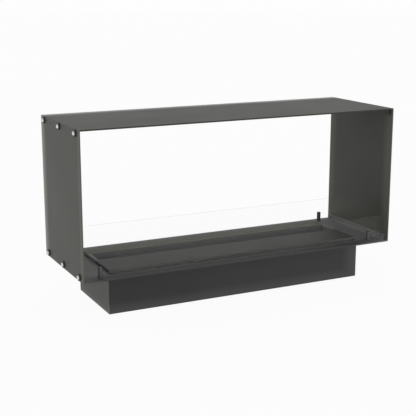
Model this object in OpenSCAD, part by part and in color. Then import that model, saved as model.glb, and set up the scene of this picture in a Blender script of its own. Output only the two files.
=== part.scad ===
// Water vapour fireplace. A see-through steel hearth frame stands on a narrower
// plinth. A long vapour unit drops through the frame's floor into the plinth, and
// two low glass screens stand in slotted pins in front of it and behind it.
// The origin is the centre of the footprint at the plinth's underside, and the
// front faces -Y.

/* [Frame] */
// Width over the side panels
frame_w = 1200; // [1100:10:1500]
// Depth from front to rear
frame_d = 400; // [380:5:480]
// Height of the frame
frame_h = 500; // [400:10:700]
// Thickness of the frame's steel sheet
sheet_t = 5; // [3:0.5:6]
// Height of the flange bars welded to the top and floor panels
bar_h = 20; // [18:1:30]
// Distance of the flange bars from the front and rear edges
bar_inset = 15; // [10:1:20]
// Size of the weld fillets
weld = 3; // [1:0.5:3]
// Radius of the side panels' corners
corner_r = 2; // [1:0.5:6]

/* [Side screws] */
// Radius of the screw's shank
screw_r = 3; // [2:0.5:4]
// Radius of the domed head
head_r = 7; // [5:0.5:9]
// Height of the domed head
head_h = 5.5; // [3:0.5:7]
// Size of the head's hexagon socket across its flats
socket_af = 5; // [3:0.5:5]
// Radius of the black washer
washer_r = 11.5; // [9.5:0.5:12]
// Thickness of the washer
washer_t = 4.5; // [1:0.5:5]
// Screw centres from the panel's top and bottom edges
screw_edge = 14; // [12:0.5:15]
// Outer screw centres from the panel's front and rear edges
screw_end = 35; // [25:1:60]

/* [Plinth] */
// Height of the plinth
plinth_h = 135; // [125:5:200]
// Distance of the plinth from the frame's sides
plinth_side_inset = 106; // [80:2:140]
// Distance of the plinth from the frame's front and rear edges
plinth_front_inset = 52; // [48:1:60]
// Thickness of the plinth's walls
plinth_t = 4; // [3:0.5:5]
// Thickness of the base plate
base_t = 3; // [2:0.5:4]
// Height of the air slots
vent_h = 46; // [30:2:50]
// Width of the air slots
vent_w = 5; // [4:0.5:8]
// Distance between neighbouring air slots
vent_pitch = 13; // [10:1:20]
// Number of air slots behind each fan
vent_count = 9; // [5:1:11]

/* [Glass screens] */
// Height of a screen
glass_h = 86; // [70:1:120]
// Thickness of the glass
glass_t = 5; // [4:1:6]
// Gap under a screen
glass_lift = 3; // [2:0.5:5]
// Gap between a screen's ends and the floor panel's flange bars
glass_end = 2; // [1:0.5:5]
// Distance of a screen's middle plane from the frame's edge
glass_inset = 30; // [26:1:34]
// Radius of the screen's corners
glass_corner = 3; // [1:0.5:6]
// Radius of a glass pin
pin_r = 7.25; // [5.5:0.25:8]
// Height of a glass pin above the floor
pin_h = 35.5; // [25:0.5:50]
// Distance of the pins from the frame's sides
pin_inset = 70; // [40:2.5:72]
// Clearance of the glass in the pin's slot on each side
slot_gap = 0.3; // [0.2:0.1:0.6]
// Radius of the pin's threaded stud
stud_r = 3; // [2.5:0.5:3]
// Thickness of the nut under the floor
nut_h = 5; // [4:0.5:6]
// Size of the nut across its flats
nut_af = 10; // [9:1:13]

/* [Vapour unit] */
// Gap between the unit and the plinth's walls
unit_gap = 2; // [1:0.5:3]
// Height of the unit above the frame's floor
unit_rise = 11.5; // [9:0.5:20]
// Thickness of the case's sheet
case_t = 1.5; // [1:0.5:2]
// Thickness of the covers' sheet
cover_t = 2; // [1.5:0.5:3]
// Outer radius of the covers' folded edges
cover_fold = 2.5; // [1:0.5:4]
// Gap between the covers' lips and the case
lip_gap = 0.5; // [0.3:0.1:1]
// Gap between the covers' lips and the frame's floor
lip_clear = 1; // [0.5:0.5:3]
// Height of the rubber pads under the case
pad_h = 4; // [2:0.5:5]
// Radius of a rubber pad
pad_r = 14; // [8:1:18]

/* [Flame trough] */
// Width of the trough
trough_w = 80; // [74:2:90]
// Distance of the trough's middle behind the unit's middle
trough_y = 30; // [24:1:32]
// Depth of the trough's deck below the covers
trough_depth = 42; // [36:1:44]
// Width of the rim at each end of the trough
rim_w = 10; // [8:0.5:14]
// Width of the ledges that carry the covers
ledge_w = 10; // [6:1:12]
// Width of the mist slot in the deck
slot_w = 14; // [8:1:18]
// Distance of the mist slot from the trough's ends
slot_end = 60; // [40:5:120]
// Width of an LED bar's foot
led_w = 18; // [17:0.5:20]
// Height of an LED bar
led_h = 14; // [13:0.5:15]
// Width of the lens in an LED bar
lens_w = 8; // [6:0.5:9]
// Gap between an LED bar and the mist slot
led_gap = 3; // [1:0.5:5]

/* [Mist basin] */
// Width of the basin from front to rear
basin_w = 70; // [62:1:72]
// Distance of the basin from the case's ends
basin_end = 45; // [40:1:80]
// Thickness of the basin's walls
basin_t = 2.5; // [2:0.5:4]
// Width of the basin's outward rim
basin_rim = 4; // [2:0.5:5]
// Thickness of the gasket under the trough
gasket_t = 2; // [1:0.5:3]
// Radius of a mist maker
maker_r = 22; // [18:1:25]
// Height of a mist maker
maker_h = 24; // [18:1:30]
// Distance between neighbouring mist makers
maker_pitch = 140; // [100:10:200]
// Least gap between the outer mist makers and the basin's ends
maker_end = 38; // [36:1:60]
// Bevel round a mist maker's top
maker_bevel = 3; // [1:0.5:4]
// Radius of the recess in a mist maker's top
recess_r = 13; // [11:0.5:15]
// Radius of the ceramic disc
disc_r = 10; // [8:0.5:11]
// Thickness of the ceramic disc
disc_t = 1.2; // [0.8:0.2:2]
// Thickness of the disc's retaining ring
ring_t = 2; // [1:0.5:3]
// Radius of the retaining ring's hole
ring_hole_r = 8; // [6:0.5:9]

/* [Level float] */
// Radius of the float
float_r = 10; // [8:0.5:12]
// Height of the float
float_h = 16; // [10:1:20]
// Travel of the float between its clips
float_travel = 20; // [10:1:24]
// Radius of the float's stem
stem_r = 3; // [2:0.5:4]
// Gap round the stem inside the float
float_gap = 0.4; // [0.3:0.1:0.8]
// Thickness of a stem clip
clip_t = 1; // [0.8:0.2:2]
// Radius of a stem clip
clip_r = 6; // [5:0.5:7]
// Height of the stem's foot
stem_foot = 3; // [2:0.5:4]
// Gap between the stem's foot and the lower clip
clip_lift = 2.7; // [2.5:0.1:4]
// Gap between the float and a clip at the end of its travel
clip_gap = 0.3; // [0.2:0.1:0.6]
// Gap between the float and the basin's end wall
float_end = 8; // [6:1:12]

/* [Fans] */
// Side of a fan's square frame
fan_size = 50; // [46:1:50]
// Depth of a fan's frame
fan_d = 15; // [12:1:20]
// Distance of the outer fans from the middle one
fan_pitch = 300; // [200:10:320]
// Wall of a fan's frame round its duct
fan_wall = 1.5; // [1:0.25:2]
// Gap between a fan's top and the basin's rim
fan_drop = 1; // [0.5:0.5:2]
// Thickness of the struts that carry the hub
strut_t = 2; // [1.5:0.5:3]
// Width of the struts
strut_w = 3; // [2:0.5:5]
// Gap between the rotor and the frame's faces
rotor_gap = 1.5; // [1:0.25:2]
// Radius of the rotor's axle
axle_r = 1.5; // [1:0.25:2]
// Radius of the rotor's hub
hub_r = 11; // [9:0.5:13]
// Number of blades
blade_n = 7; // [5:1:9]
// Gap between the blade tips and the frame
tip_gap = 0.6; // [0.4:0.1:1]
// Thickness of a blade
blade_t = 1.2; // [0.8:0.2:1.6]
// Radius of a blade's camber
camber_r = 16; // [14:1:20]
// Pitch of a blade against the rotor's face
blade_pitch = 38; // [30:1:45]

/* [Water tank] */
// Length of the bay kept for the valve, the board and the supply
gear_l = 440; // [430:5:480]
// Thickness of the tank's walls
tank_t = 3; // [2:0.5:4]
// Radius of the tank's upright corners
tank_r = 12; // [6:1:20]
// Gap between the tank's top and the cover's underside
tank_gap = 24; // [19:0.5:30]
// Distance of the filler neck from the tank's left end
neck_x = 90; // [40:5:150]
// Outer radius of the filler neck
neck_r = 22; // [16:1:26]
// Height of the filler neck
neck_h = 10; // [8:0.5:10]
// Thickness of the filler neck's wall
neck_wall = 4; // [3:0.5:5]
// Distance that the neck's square foot stands out round it
neck_foot = 4; // [3:0.5:6]
// Distance that the neck's two lugs stand out
lug_out = 1.6; // [1:0.2:2]
// Gap between the lugs and the cap's skirt
lug_play = 0.6; // [0.3:0.1:1]
// Number of finger scallops round the cap
scallops = 12; // [8:1:16]
// Thickness of the cap's top and skirt
cap_t = 3; // [2:0.5:4]
// Thickness of the cap's seal
seal_t = 1.5; // [1:0.5:2]
// Outer radius of the water pipes
pipe_r = 6; // [5:0.5:8]
// Thickness of the water pipes' wall
pipe_t = 1.5; // [1:0.5:2]
// Height of the water pipes above the case's floor
pipe_z = 20; // [16:1:24]
// Distance of the water pipes behind the front of the tank
pipe_in = 30; // [20:1:40]
// Radius of the feed pipe's bend
pipe_bend = 18; // [14:1:22]
// Straight length of the feed pipe between the valve and its bend
feed_lead = 8; // [5:1:12]
// Width of the valve's body along the pipes
valve_w = 32; // [28:1:36]
// Gap between the tank and the valve
valve_gap = 18; // [12:1:24]

/* [Electrics] */
// Length of the power supply
supply_l = 159; // [120:1:170]
// Width of the power supply
supply_w = 97; // [80:1:98]
// Height of the power supply
supply_h = 38; // [30:1:50]
// Gap between the power supply and the case's right wall
supply_gap = 34; // [34:1:45]
// Length of the control board
board_l = 120; // [90:5:130]
// Width of the control board
board_w = 90; // [70:5:100]
// Thickness of the control board
board_t = 1.6; // [1.2:0.2:2]
// Gap between the control board and the power supply
board_gap = 12; // [8:1:16]
// Height of the board's standoffs
standoff_h = 10; // [6:1:15]
// Distance of the mains inlet from the case's right end
inlet_x = 85; // [60:1:100]
// Height of the mains inlet above the case's underside
inlet_z = 28; // [24:1:36]
// Distance of the rocker switch from the mains inlet
switch_pitch = 48; // [44:1:60]
// Rocker angle away from the middle when it is off or on
rocker_tilt = 8; // [5:1:10]
// Room left round the inlet and the switch in the plinth's window
window_room = 14; // [10:1:20]
// Room left above and below them
window_rise = 4; // [3:0.5:6]
// Radius of the mains wiring
mains_r = 3.5; // [3:0.5:4]
// Radius of the mains wiring's bends
mains_bend = 8; // [6:0.5:8]
// Distance of the mains wiring from the right end of the bay
mains_lane = 14; // [13:1:16]
// Radius of the board's wiring
loom_r = 3; // [2:0.5:4]
// Radius of the board wiring's bends
loom_bend = 8; // [6:0.5:10]
// Distance of the board's wiring from the right end of the bay
loom_lane = 28; // [27:1:32]
// Distance of the board's wiring from the case's rear
loom_back = 47.5; // [46:0.5:50]

/* [Hidden] */
$fn = 48;
cut = 1;            // how far a cutting shape runs past a face
fit = 0.05;         // radial clearance of a thread or a pivot
hole_gap = 0.3;     // radial clearance of a plain screw hole

inner_x = frame_w / 2 - sheet_t;
floor_top = plinth_h + sheet_t;
frame_top = plinth_h + frame_h;
side_screw_y = [for (i = [-1:1]) i * (frame_d / 2 - screw_end)];
side_screw_z = [plinth_h + screw_edge, frame_top - screw_edge];

plinth_w = frame_w - 2 * plinth_side_inset;
plinth_d = frame_d - 2 * plinth_front_inset;
well_w = plinth_w - 2 * plinth_t;
well_d = plinth_d - 2 * plinth_t;

glass_w = 2 * (inner_x - sheet_t - glass_end);
glass_y = frame_d / 2 - glass_inset;
glass_z = floor_top + glass_lift;
pin_x = frame_w / 2 - pin_inset;

unit_w = well_w - 2 * unit_gap;
unit_d = well_d - 2 * unit_gap;
unit_top = floor_top + unit_rise;
lip_z = floor_top + lip_clear;
case_w = unit_w - 2 * (cover_t + lip_gap);
case_d = unit_d - 2 * (cover_t + lip_gap);
case_z = base_t + pad_h;
case_floor = case_z + case_t;
case_top = unit_top - cover_t;
case_rear = case_d / 2;

trough_front = trough_y - trough_w / 2;
trough_rear = trough_y + trough_w / 2;
trough_end = unit_w / 2 - rim_w;
deck_top = unit_top - trough_depth;
deck_low = deck_top - cover_t;

basin_l = case_w - 2 * basin_end;
basin_top = deck_low - gasket_t;
basin_floor = case_floor + basin_t;
basin_front = trough_y - basin_w / 2;
basin_rear = trough_y + basin_w / 2;
maker_span = basin_l - 2 * (maker_r + maker_end);
maker_n = floor(maker_span / maker_pitch) + 1;
maker_x = [for (i = [0:maker_n - 1]) (i - (maker_n - 1) / 2) * maker_pitch];
maker_top = basin_floor + maker_h;
recess_h = disc_t + ring_t;
float_x = -(basin_l / 2 - basin_t - float_r - float_end);
clip_low = basin_floor + stem_foot + clip_lift;
float_z = clip_low + clip_t + clip_gap;
clip_high = float_z + float_h + float_travel + clip_gap;
stem_top = clip_high + clip_t + clip_lift;

fan_x = [for (i = [-1:1]) i * fan_pitch];
fan_duct_r = fan_size / 2 - fan_wall;
fan_z = basin_top - basin_t - fan_drop - fan_size / 2;
fan_front = basin_rear;
rotor_d = fan_d - strut_t - 2 * rotor_gap;
tip_r = fan_duct_r - tip_gap;
hub_front = 2.5;                          // depth of the hub's closed front
axle_foot = rotor_gap + hub_front + 0.5;  // front end of the axle in the rotor

bay_gap = 2;
bay_front = -case_d / 2 + case_t + bay_gap;
bay_rear = trough_front - cover_t - bay_gap;
bay_y = (bay_front + bay_rear) / 2;
bay_left = -case_w / 2 + case_t + bay_gap;
bay_right = case_w / 2 - case_t - bay_gap;
tank_right = bay_right - gear_l;
tank_top = case_top - tank_gap;
filler_x = bay_left + neck_x;
neck_top = tank_top + neck_h;
cap_in = neck_r + lug_out + lug_play;
pipe_y = bay_front + pipe_in;
pipe_h = case_floor + pipe_z;
valve_x = tank_right + valve_gap + valve_w / 2;
feed_x = valve_x + valve_w / 2 + feed_lead + pipe_bend;

supply_x = bay_right - supply_gap - supply_l / 2;
supply_step = [14, 20];
board_x = supply_x - supply_l / 2 - board_gap - board_l / 2;
board_z = case_floor + standoff_h;

inlet_at = [case_w / 2 - inlet_x, case_rear, case_z + inlet_z];
inlet_body = [28, 20];
inlet_flange = [50, 24, 1.6];
inlet_depth = 18;
inlet_screw_r = 1.5;
inlet_screw_in = 5.5;
socket_size = [24.4, 16.6];
switch_at = inlet_at - [switch_pitch, 0, 0];
switch_body = [17, 22];
switch_flange = [21, 26, 1.6];
switch_depth = 15;
switch_well = 6.2;
rocker_w = 11;
rocker_r = 9.2;
rocker_gap = 0.35;
pivot_r = 1.2;
pivot_in = 3.5;
window_left = switch_at.x - switch_flange.x / 2 - window_room;
window_right = inlet_at.x + inlet_flange.x / 2 + window_room;
window_low = inlet_at.z - switch_flange.y / 2 - window_rise;
window_h = switch_flange.y + 2 * window_rise;
vent_z = window_low + window_h + 10;

lens_deep = 3;
lens_cover = 0.2;
lens_t = 1.5;
strip_t = 0.8;
bar_foot = 4;
bar_top = 6;
bar_wall = 2;

black_coat = "#3a3b38";
steel = "#b9bcbd";
black_plastic = "#1d1e1f";

// Rectangle on the X axis with four rounded corners
module rounded_rect(w, h, r) {
    translate([-w / 2 + r, 0]) square([w - 2 * r, h]);
    translate([-w / 2, r]) square([w, h - 2 * r]);
    for (x = [-w / 2 + r, w / 2 - r], y = [r, h - r])
        translate([x, y]) circle(r);
}

// Rectangle on the X axis whose two lower corners are rounded
module footed_rect(w, h, r) {
    translate([-w / 2 + r, 0]) square([w - 2 * r, h]);
    translate([-w / 2, r]) square([w, h - r]);
    for (x = [-w / 2 + r, w / 2 - r])
        translate([x, r]) circle(r);
}

// Stadium-shaped slot that lies along X, centred
module slot_2d(l, w) {
    square([l - w, w], center = true);
    for (x = [-1, 1])
        translate([x * (l - w) / 2, 0]) circle(w / 2);
}

// Block given by its two opposite corners
module block(low, high) {
    translate(low) cube(high - low);
}

// Unit vector of an axis-parallel step
function heading(a, b) = (b - a) / norm(b - a);

// Places children with their +Z along d, which is parallel to an axis
module aim(p, d) {
    u = [d.y, d.z, d.x];
    v = cross(d, u);
    multmatrix([[u.x, v.x, d.x, p.x], [u.y, v.y, d.y, p.y], [u.z, v.z, d.z, p.z]])
        children();
}

// Round bar along axis-parallel steps, with an elbow of radius bend at each corner
module run(points, r, bend) {
    last = len(points) - 1;
    for (i = [0:last - 1]) {
        d = heading(points[i], points[i + 1]);
        start = i == 0 ? 0 : bend;
        stop = i == last - 1 ? 0 : bend;
        aim(points[i] + d * start, d)
            cylinder(r = r, h = norm(points[i + 1] - points[i]) - start - stop);
    }
    for (i = [1:1:last - 1]) {
        a = heading(points[i - 1], points[i]);
        b = heading(points[i], points[i + 1]);
        c = points[i] + (b - a) * bend;
        n = cross(-b, a);
        multmatrix([[-b.x, a.x, n.x, c.x], [-b.y, a.y, n.y, c.y], [-b.z, a.z, n.z, c.z]])
            rotate_extrude(angle = 90) translate([bend, 0]) circle(r);
    }
}

// Frame: side panels, which hide the ends of the top and floor panels
module at_side_screws() {
    for (y = side_screw_y, z = side_screw_z)
        translate([frame_w / 2, y, z]) rotate([0, 90, 0]) children();
}

module side_panel() {
    color(black_coat) difference() {
        translate([inner_x, 0, plinth_h]) rotate([90, 0, 90])
            linear_extrude(sheet_t) rounded_rect(frame_d, frame_h, corner_r);
        at_side_screws() translate([0, 0, -sheet_t - cut])
            cylinder(r = screw_r + hole_gap, h = sheet_t + 2 * cut);
    }
}

module left_side_panel() {
    mirror([1, 0, 0]) side_panel();
}

module right_side_panel() {
    side_panel();
}

// Domed screws with a hexagon socket, and the washers under their heads
module side_screw() {
    dome_r = (head_r * head_r + head_h * head_h) / (2 * head_h);
    difference() {
        union() {
            translate([0, 0, washer_t]) intersection() {
                translate([0, 0, head_h - dome_r]) sphere(dome_r);
                cylinder(r = head_r, h = head_h + cut);
            }
            translate([0, 0, -2 * sheet_t]) cylinder(r = screw_r, h = 2 * sheet_t + washer_t + cut);
        }
        translate([0, 0, washer_t + head_h / 2])
            cylinder(r = socket_af / sqrt(3), h = head_h, $fn = 6);
    }
}

module side_washer() {
    difference() {
        cylinder(r = washer_r, h = washer_t);
        translate([0, 0, -cut]) cylinder(r = screw_r + hole_gap, h = washer_t + 2 * cut);
    }
}

module right_screws() {
    color(steel) at_side_screws() side_screw();
}

module left_screws() {
    mirror([1, 0, 0]) right_screws();
}

module right_washers() {
    color(black_plastic) at_side_screws() side_washer();
}

module left_washers() {
    mirror([1, 0, 0]) right_washers();
}

// Sheet on z = 0 with a tapped flange bar welded along each end
module flanged_sheet() {
    difference() {
        union() {
            block([-inner_x, -frame_d / 2, 0], [inner_x, frame_d / 2, sheet_t]);
            for (side = [0, 1]) mirror([side, 0, 0]) rotate([90, 0, 0])
                linear_extrude(frame_d - 2 * bar_inset, center = true) polygon([
                    [inner_x, 0], [inner_x, sheet_t + bar_h], [inner_x - sheet_t, sheet_t + bar_h],
                    [inner_x - sheet_t, sheet_t + weld], [inner_x - sheet_t - weld, sheet_t],
                    [inner_x - sheet_t - weld, 0]
                ]);
        }
        for (side = [-1, 1], y = side_screw_y)
            translate([side * (inner_x - sheet_t / 2), y, screw_edge]) rotate([0, 90, 0])
                cylinder(r = screw_r + fit, h = sheet_t + 2 * cut, center = true);
    }
}

module top_panel() {
    color(black_coat) translate([0, 0, frame_top]) mirror([0, 0, 1]) flanged_sheet();
}

module floor_panel() {
    color(black_coat) difference() {
        translate([0, 0, plinth_h]) flanged_sheet();
        translate([0, -well_d / 2, plinth_h - cut])
            linear_extrude(sheet_t + 2 * cut) rounded_rect(well_w, well_d, unit_gap / 2);
        at_glass_pins(1) stud_hole();
        at_glass_pins(-1) stud_hole();
    }
}

// Plinth: four welded walls and the base plate between them
module plinth_front_wall() {
    color(black_coat)
        block([-plinth_w / 2, -plinth_d / 2, 0], [plinth_w / 2, -well_d / 2, plinth_h]);
}

module plinth_right_wall() {
    color(black_coat)
        block([well_w / 2, -well_d / 2, 0], [plinth_w / 2, well_d / 2, plinth_h]);
}

module plinth_left_wall() {
    mirror([1, 0, 0]) plinth_right_wall();
}

module plinth_base() {
    color(black_coat)
        block([-well_w / 2, -well_d / 2, 0], [well_w / 2, well_d / 2, base_t]);
}

// Air slots behind each fan, cut along Y from the plane y
module air_slots(y, depth) {
    for (x = fan_x, i = [0:vent_count - 1])
        translate([x + (i - (vent_count - 1) / 2) * vent_pitch, y, vent_z + vent_h / 2])
            rotate([90, 90, 0]) translate([0, 0, -depth / 2])
                linear_extrude(depth) slot_2d(vent_h, vent_w);
}

module plinth_rear_wall() {
    color(black_coat) difference() {
        block([-plinth_w / 2, well_d / 2, 0], [plinth_w / 2, plinth_d / 2, plinth_h]);
        air_slots(plinth_d / 2 - plinth_t / 2, plinth_t + 2 * cut);
        translate([(window_left + window_right) / 2, plinth_d / 2 + cut, window_low]) rotate([90, 0, 0])
            linear_extrude(plinth_t + 2 * cut) rounded_rect(window_right - window_left, window_h, 5);
    }
}

// Glass screens in slotted pins, whose studs go through the floor into nuts
module glass_screen(y) {
    color("#cfe3da", 0.35) translate([0, y + glass_t / 2, glass_z]) rotate([90, 0, 0])
        linear_extrude(glass_t) rounded_rect(glass_w, glass_h, glass_corner);
}

module front_glass() {
    glass_screen(-glass_y);
}

module rear_glass() {
    glass_screen(glass_y);
}

module at_glass_pins(side) {
    for (x = [-pin_x, pin_x])
        translate([x, side * glass_y, floor_top]) children();
}

module stud_hole() {
    translate([0, 0, -sheet_t - cut]) cylinder(r = stud_r + hole_gap, h = sheet_t + 2 * cut);
}

module glass_pin() {
    chamfer = 0.8;
    color(black_plastic) difference() {
        union() {
            cylinder(r = pin_r, h = pin_h - chamfer);
            translate([0, 0, pin_h - chamfer])
                cylinder(r1 = pin_r, r2 = pin_r - chamfer, h = chamfer);
            translate([0, 0, -sheet_t - nut_h - 1]) cylinder(r = stud_r, h = sheet_t + nut_h + 1);
        }
        translate([-pin_r - cut, -glass_t / 2 - slot_gap, glass_lift])
            cube([2 * (pin_r + cut), glass_t + 2 * slot_gap, pin_h]);
    }
}

module front_glass_pins() {
    at_glass_pins(-1) glass_pin();
}

module rear_glass_pins() {
    at_glass_pins(1) glass_pin();
}

module pin_nut() {
    translate([0, 0, -sheet_t - nut_h]) difference() {
        cylinder(r = nut_af / 2 / cos(30), h = nut_h, $fn = 6);
        translate([0, 0, -cut]) cylinder(r = stud_r + fit, h = nut_h + 2 * cut);
    }
}

module pin_nuts() {
    color(steel) for (side = [-1, 1]) at_glass_pins(side) pin_nut();
}

// Vapour unit: sheet case on rubber pads
module unit_case() {
    color("#77797a") difference() {
        block([-case_w / 2, -case_d / 2, case_z], [case_w / 2, case_d / 2, case_top]);
        block([-case_w / 2 + case_t, -case_d / 2 + case_t, case_floor],
              [case_w / 2 - case_t, case_d / 2 - case_t, case_top + cut]);
        air_slots(case_rear - case_t / 2, case_t + 2 * cut);
        translate(inlet_at) rear_cut(inlet_body, 1, case_t);
        translate(switch_at) rear_cut(switch_body, 1, case_t);
        at_inlet_screws() cylinder(r = inlet_screw_r + fit, h = 3 * case_t, center = true);
    }
}

// Rectangular hole for a body of the given size, cut from the rear face inwards
module rear_cut(size, r, depth) {
    translate([0, cut, -size.y / 2 - hole_gap]) rotate([90, 0, 0])
        linear_extrude(depth + 2 * cut)
            rounded_rect(size.x + 2 * hole_gap, size.y + 2 * hole_gap, r);
}

module unit_pads() {
    pad_in = 2 * pad_r + 2;
    color(black_plastic)
        for (x = [-1, 0, 1], y = [-1, 1])
            translate([x * (case_w / 2 - pad_in), y * (case_d / 2 - pad_in), base_t])
                cylinder(r = pad_r, h = pad_h);
}

// Solid whose top edges are rounded at its ends and at the given long sides
module lid_form(half_w, y0, y1, z0, z1, r, front_r, rear_r) {
    intersection() {
        translate([0, y1, z1]) mirror([0, 0, 1]) rotate([90, 0, 0])
            linear_extrude(y1 - y0) footed_rect(2 * half_w, z1 - z0, r);
        translate([-half_w, 0, 0]) rotate([90, 0, 90]) linear_extrude(2 * half_w) difference() {
            translate([y0, z0]) square([y1 - y0, z1 - z0]);
            if (front_r > 0) translate([y0, z1 - front_r]) difference() {
                translate([-cut, 0]) square([front_r + cut, front_r + cut]);
                translate([front_r, 0]) circle(front_r);
            }
            if (rear_r > 0) translate([y1 - rear_r, z1 - rear_r]) difference() {
                square([rear_r + cut, rear_r + cut]);
                circle(rear_r);
            }
        }
    }
}

// Covers: sheet lids with lips folded down over the case's walls
module cover(y0, y1) {
    front = y0 < 0;
    in_r = max(cover_fold - cover_t, 0.2);
    color(black_coat) difference() {
        lid_form(unit_w / 2, y0, y1, lip_z, unit_top, cover_fold,
                 front ? cover_fold : 0, front ? 0 : cover_fold);
        lid_form(unit_w / 2 - cover_t, front ? y0 + cover_t : y0 - cut,
                 front ? y1 + cut : y1 - cover_t, lip_z - cut, case_top, in_r, 0, 0);
    }
}

module front_cover() {
    cover(-unit_d / 2, trough_front);
}

module rear_cover() {
    cover(trough_rear, unit_d / 2);
}

// Flame trough: folded tray with ledges for the covers, end rims and a mist slot
module flame_trough() {
    rim_gap = 0.5;
    ledge_z = case_top - cover_t;
    color(black_coat) difference() {
        union() {
            block([-trough_end - cover_t, trough_front - cover_t, deck_low],
                  [trough_end + cover_t, trough_rear + cover_t, case_top]);
            block([-trough_end - cover_t, trough_front - ledge_w - cover_t, ledge_z],
                  [trough_end + cover_t, trough_rear + ledge_w + cover_t, case_top]);
            difference() {
                lid_form(unit_w / 2, trough_front + rim_gap, trough_rear - rim_gap,
                         lip_z, unit_top, cover_fold, 0, 0);
                block([-unit_w / 2 + cover_t, trough_front, lip_z - cut],
                      [unit_w / 2 - cover_t, trough_rear, case_top]);
            }
        }
        block([-trough_end, trough_front, deck_top], [trough_end, trough_rear, unit_top + cut]);
        translate([0, trough_y, deck_low - cut]) linear_extrude(cover_t + 2 * cut)
            slot_2d(2 * (trough_end - slot_end), slot_w);
    }
}

// LED bars: extrusions with a slanted face towards the mist slot
module at_lens() {
    run_x = led_w - bar_top;
    run_z = led_h - bar_foot;
    translate([bar_top + run_x / 2, bar_foot + run_z / 2])
        rotate(-atan2(run_z, run_x)) children();
}

module bar_outline() {
    difference() {
        polygon([[0, 0], [led_w, 0], [led_w, bar_foot], [bar_top, led_h], [0, led_h]]);
        at_lens() translate([-lens_w / 2, -lens_deep]) square([lens_w, lens_deep + cut]);
        translate([bar_wall, bar_wall]) square([led_w - bar_top - 2 * bar_wall, bar_wall]);
    }
}

module lens_outline() {
    at_lens() translate([-lens_w / 2, -lens_cover - lens_t]) square([lens_w, lens_t]);
}

module strip_outline() {
    at_lens() translate([-lens_w / 2, -lens_deep]) square([lens_w, strip_t]);
}

// Carries an outline, drawn in front of the mist slot, along the front bar
module along_front_bar() {
    translate([-(trough_end - slot_end), trough_y - slot_w / 2 - led_gap - led_w, deck_top])
        rotate([90, 0, 90]) linear_extrude(2 * (trough_end - slot_end)) children();
}

module along_rear_bar() {
    translate([0, 2 * trough_y, 0]) mirror([0, 1, 0]) along_front_bar() children();
}

module front_led_bar() {
    color(steel) along_front_bar() bar_outline();
}

module rear_led_bar() {
    color(steel) along_rear_bar() bar_outline();
}

module led_lenses() {
    color("#f2efe6") {
        along_front_bar() lens_outline();
        along_rear_bar() lens_outline();
    }
}

module led_strips() {
    color("#e8dca8") {
        along_front_bar() strip_outline();
        along_rear_bar() strip_outline();
    }
}

// Mist basin under the trough, open at its top, with a gasket on its rim
module basin_ring(z, h, inner_w, inner_l) {
    difference() {
        block([-basin_l / 2 - basin_rim, basin_front - basin_rim, z],
              [basin_l / 2 + basin_rim, basin_rear + basin_rim, z + h]);
        block([-inner_l / 2, trough_y - inner_w / 2, z - cut],
              [inner_l / 2, trough_y + inner_w / 2, z + h + cut]);
    }
}

module mist_basin() {
    color(black_plastic) difference() {
        union() {
            block([-basin_l / 2, basin_front, case_floor], [basin_l / 2, basin_rear, basin_top]);
            block([-basin_l / 2 - basin_rim, basin_front - basin_rim, basin_top - basin_t],
                  [basin_l / 2 + basin_rim, basin_rear + basin_rim, basin_top]);
        }
        block([-basin_l / 2 + basin_t, basin_front + basin_t, basin_floor],
              [basin_l / 2 - basin_t, basin_rear - basin_t, basin_top + cut]);
        for (x = fan_x) translate([x, basin_rear - basin_t / 2, fan_z]) rotate([90, 0, 0])
            cylinder(r = fan_duct_r, h = basin_t + 2 * cut, center = true);
        translate([feed_x, basin_front + basin_t / 2, pipe_h]) rotate([90, 0, 0])
            cylinder(r = pipe_r + fit, h = basin_t + 2 * cut, center = true);
    }
}

module basin_gasket() {
    color("#2b2b2b")
        basin_ring(basin_top, gasket_t, basin_w - 2 * basin_t, basin_l - 2 * basin_t);
}

// Ultrasonic mist makers: round housings, each with a ceramic disc under a ring
module at_makers() {
    for (x = maker_x) translate([x, trough_y, 0]) children();
}

module mist_makers() {
    color("#8d9092") at_makers() difference() {
        union() {
            translate([0, 0, basin_floor]) cylinder(r = maker_r, h = maker_h - maker_bevel);
            translate([0, 0, maker_top - maker_bevel])
                cylinder(r1 = maker_r, r2 = maker_r - maker_bevel, h = maker_bevel);
        }
        translate([0, 0, maker_top - recess_h]) cylinder(r = recess_r, h = recess_h + cut);
    }
}

module ceramic_discs() {
    color("#e3ddc8") at_makers() translate([0, 0, maker_top - recess_h])
        cylinder(r = disc_r, h = disc_t);
}

module disc_rings() {
    color(steel) at_makers() translate([0, 0, maker_top - ring_t]) difference() {
        cylinder(r = recess_r, h = ring_t);
        translate([0, 0, -cut]) cylinder(r = ring_hole_r, h = ring_t + 2 * cut);
    }
}

// Level float, which slides on its stem between two clips
module float_stem() {
    color(steel) translate([float_x, trough_y, basin_floor]) {
        cylinder(r = float_r - 1, h = stem_foot);
        cylinder(r = stem_r, h = stem_top - basin_floor);
    }
}

module float_clips() {
    color("#55595c") for (z = [clip_low, clip_high])
        translate([float_x, trough_y, z]) difference() {
            cylinder(r = clip_r, h = clip_t);
            translate([0, 0, -cut]) cylinder(r = stem_r, h = clip_t + 2 * cut);
        }
}

module level_float() {
    color("#d9d4c5") translate([float_x, trough_y, float_z]) difference() {
        cylinder(r = float_r, h = float_h);
        translate([0, 0, -cut]) cylinder(r = stem_r + float_gap, h = float_h + 2 * cut);
    }
}

// Fans on the basin's rear wall. Their axes lie along Y.
module at_fan(x) {
    translate([x, fan_front, fan_z]) rotate([-90, 0, 0]) children();
}

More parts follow.
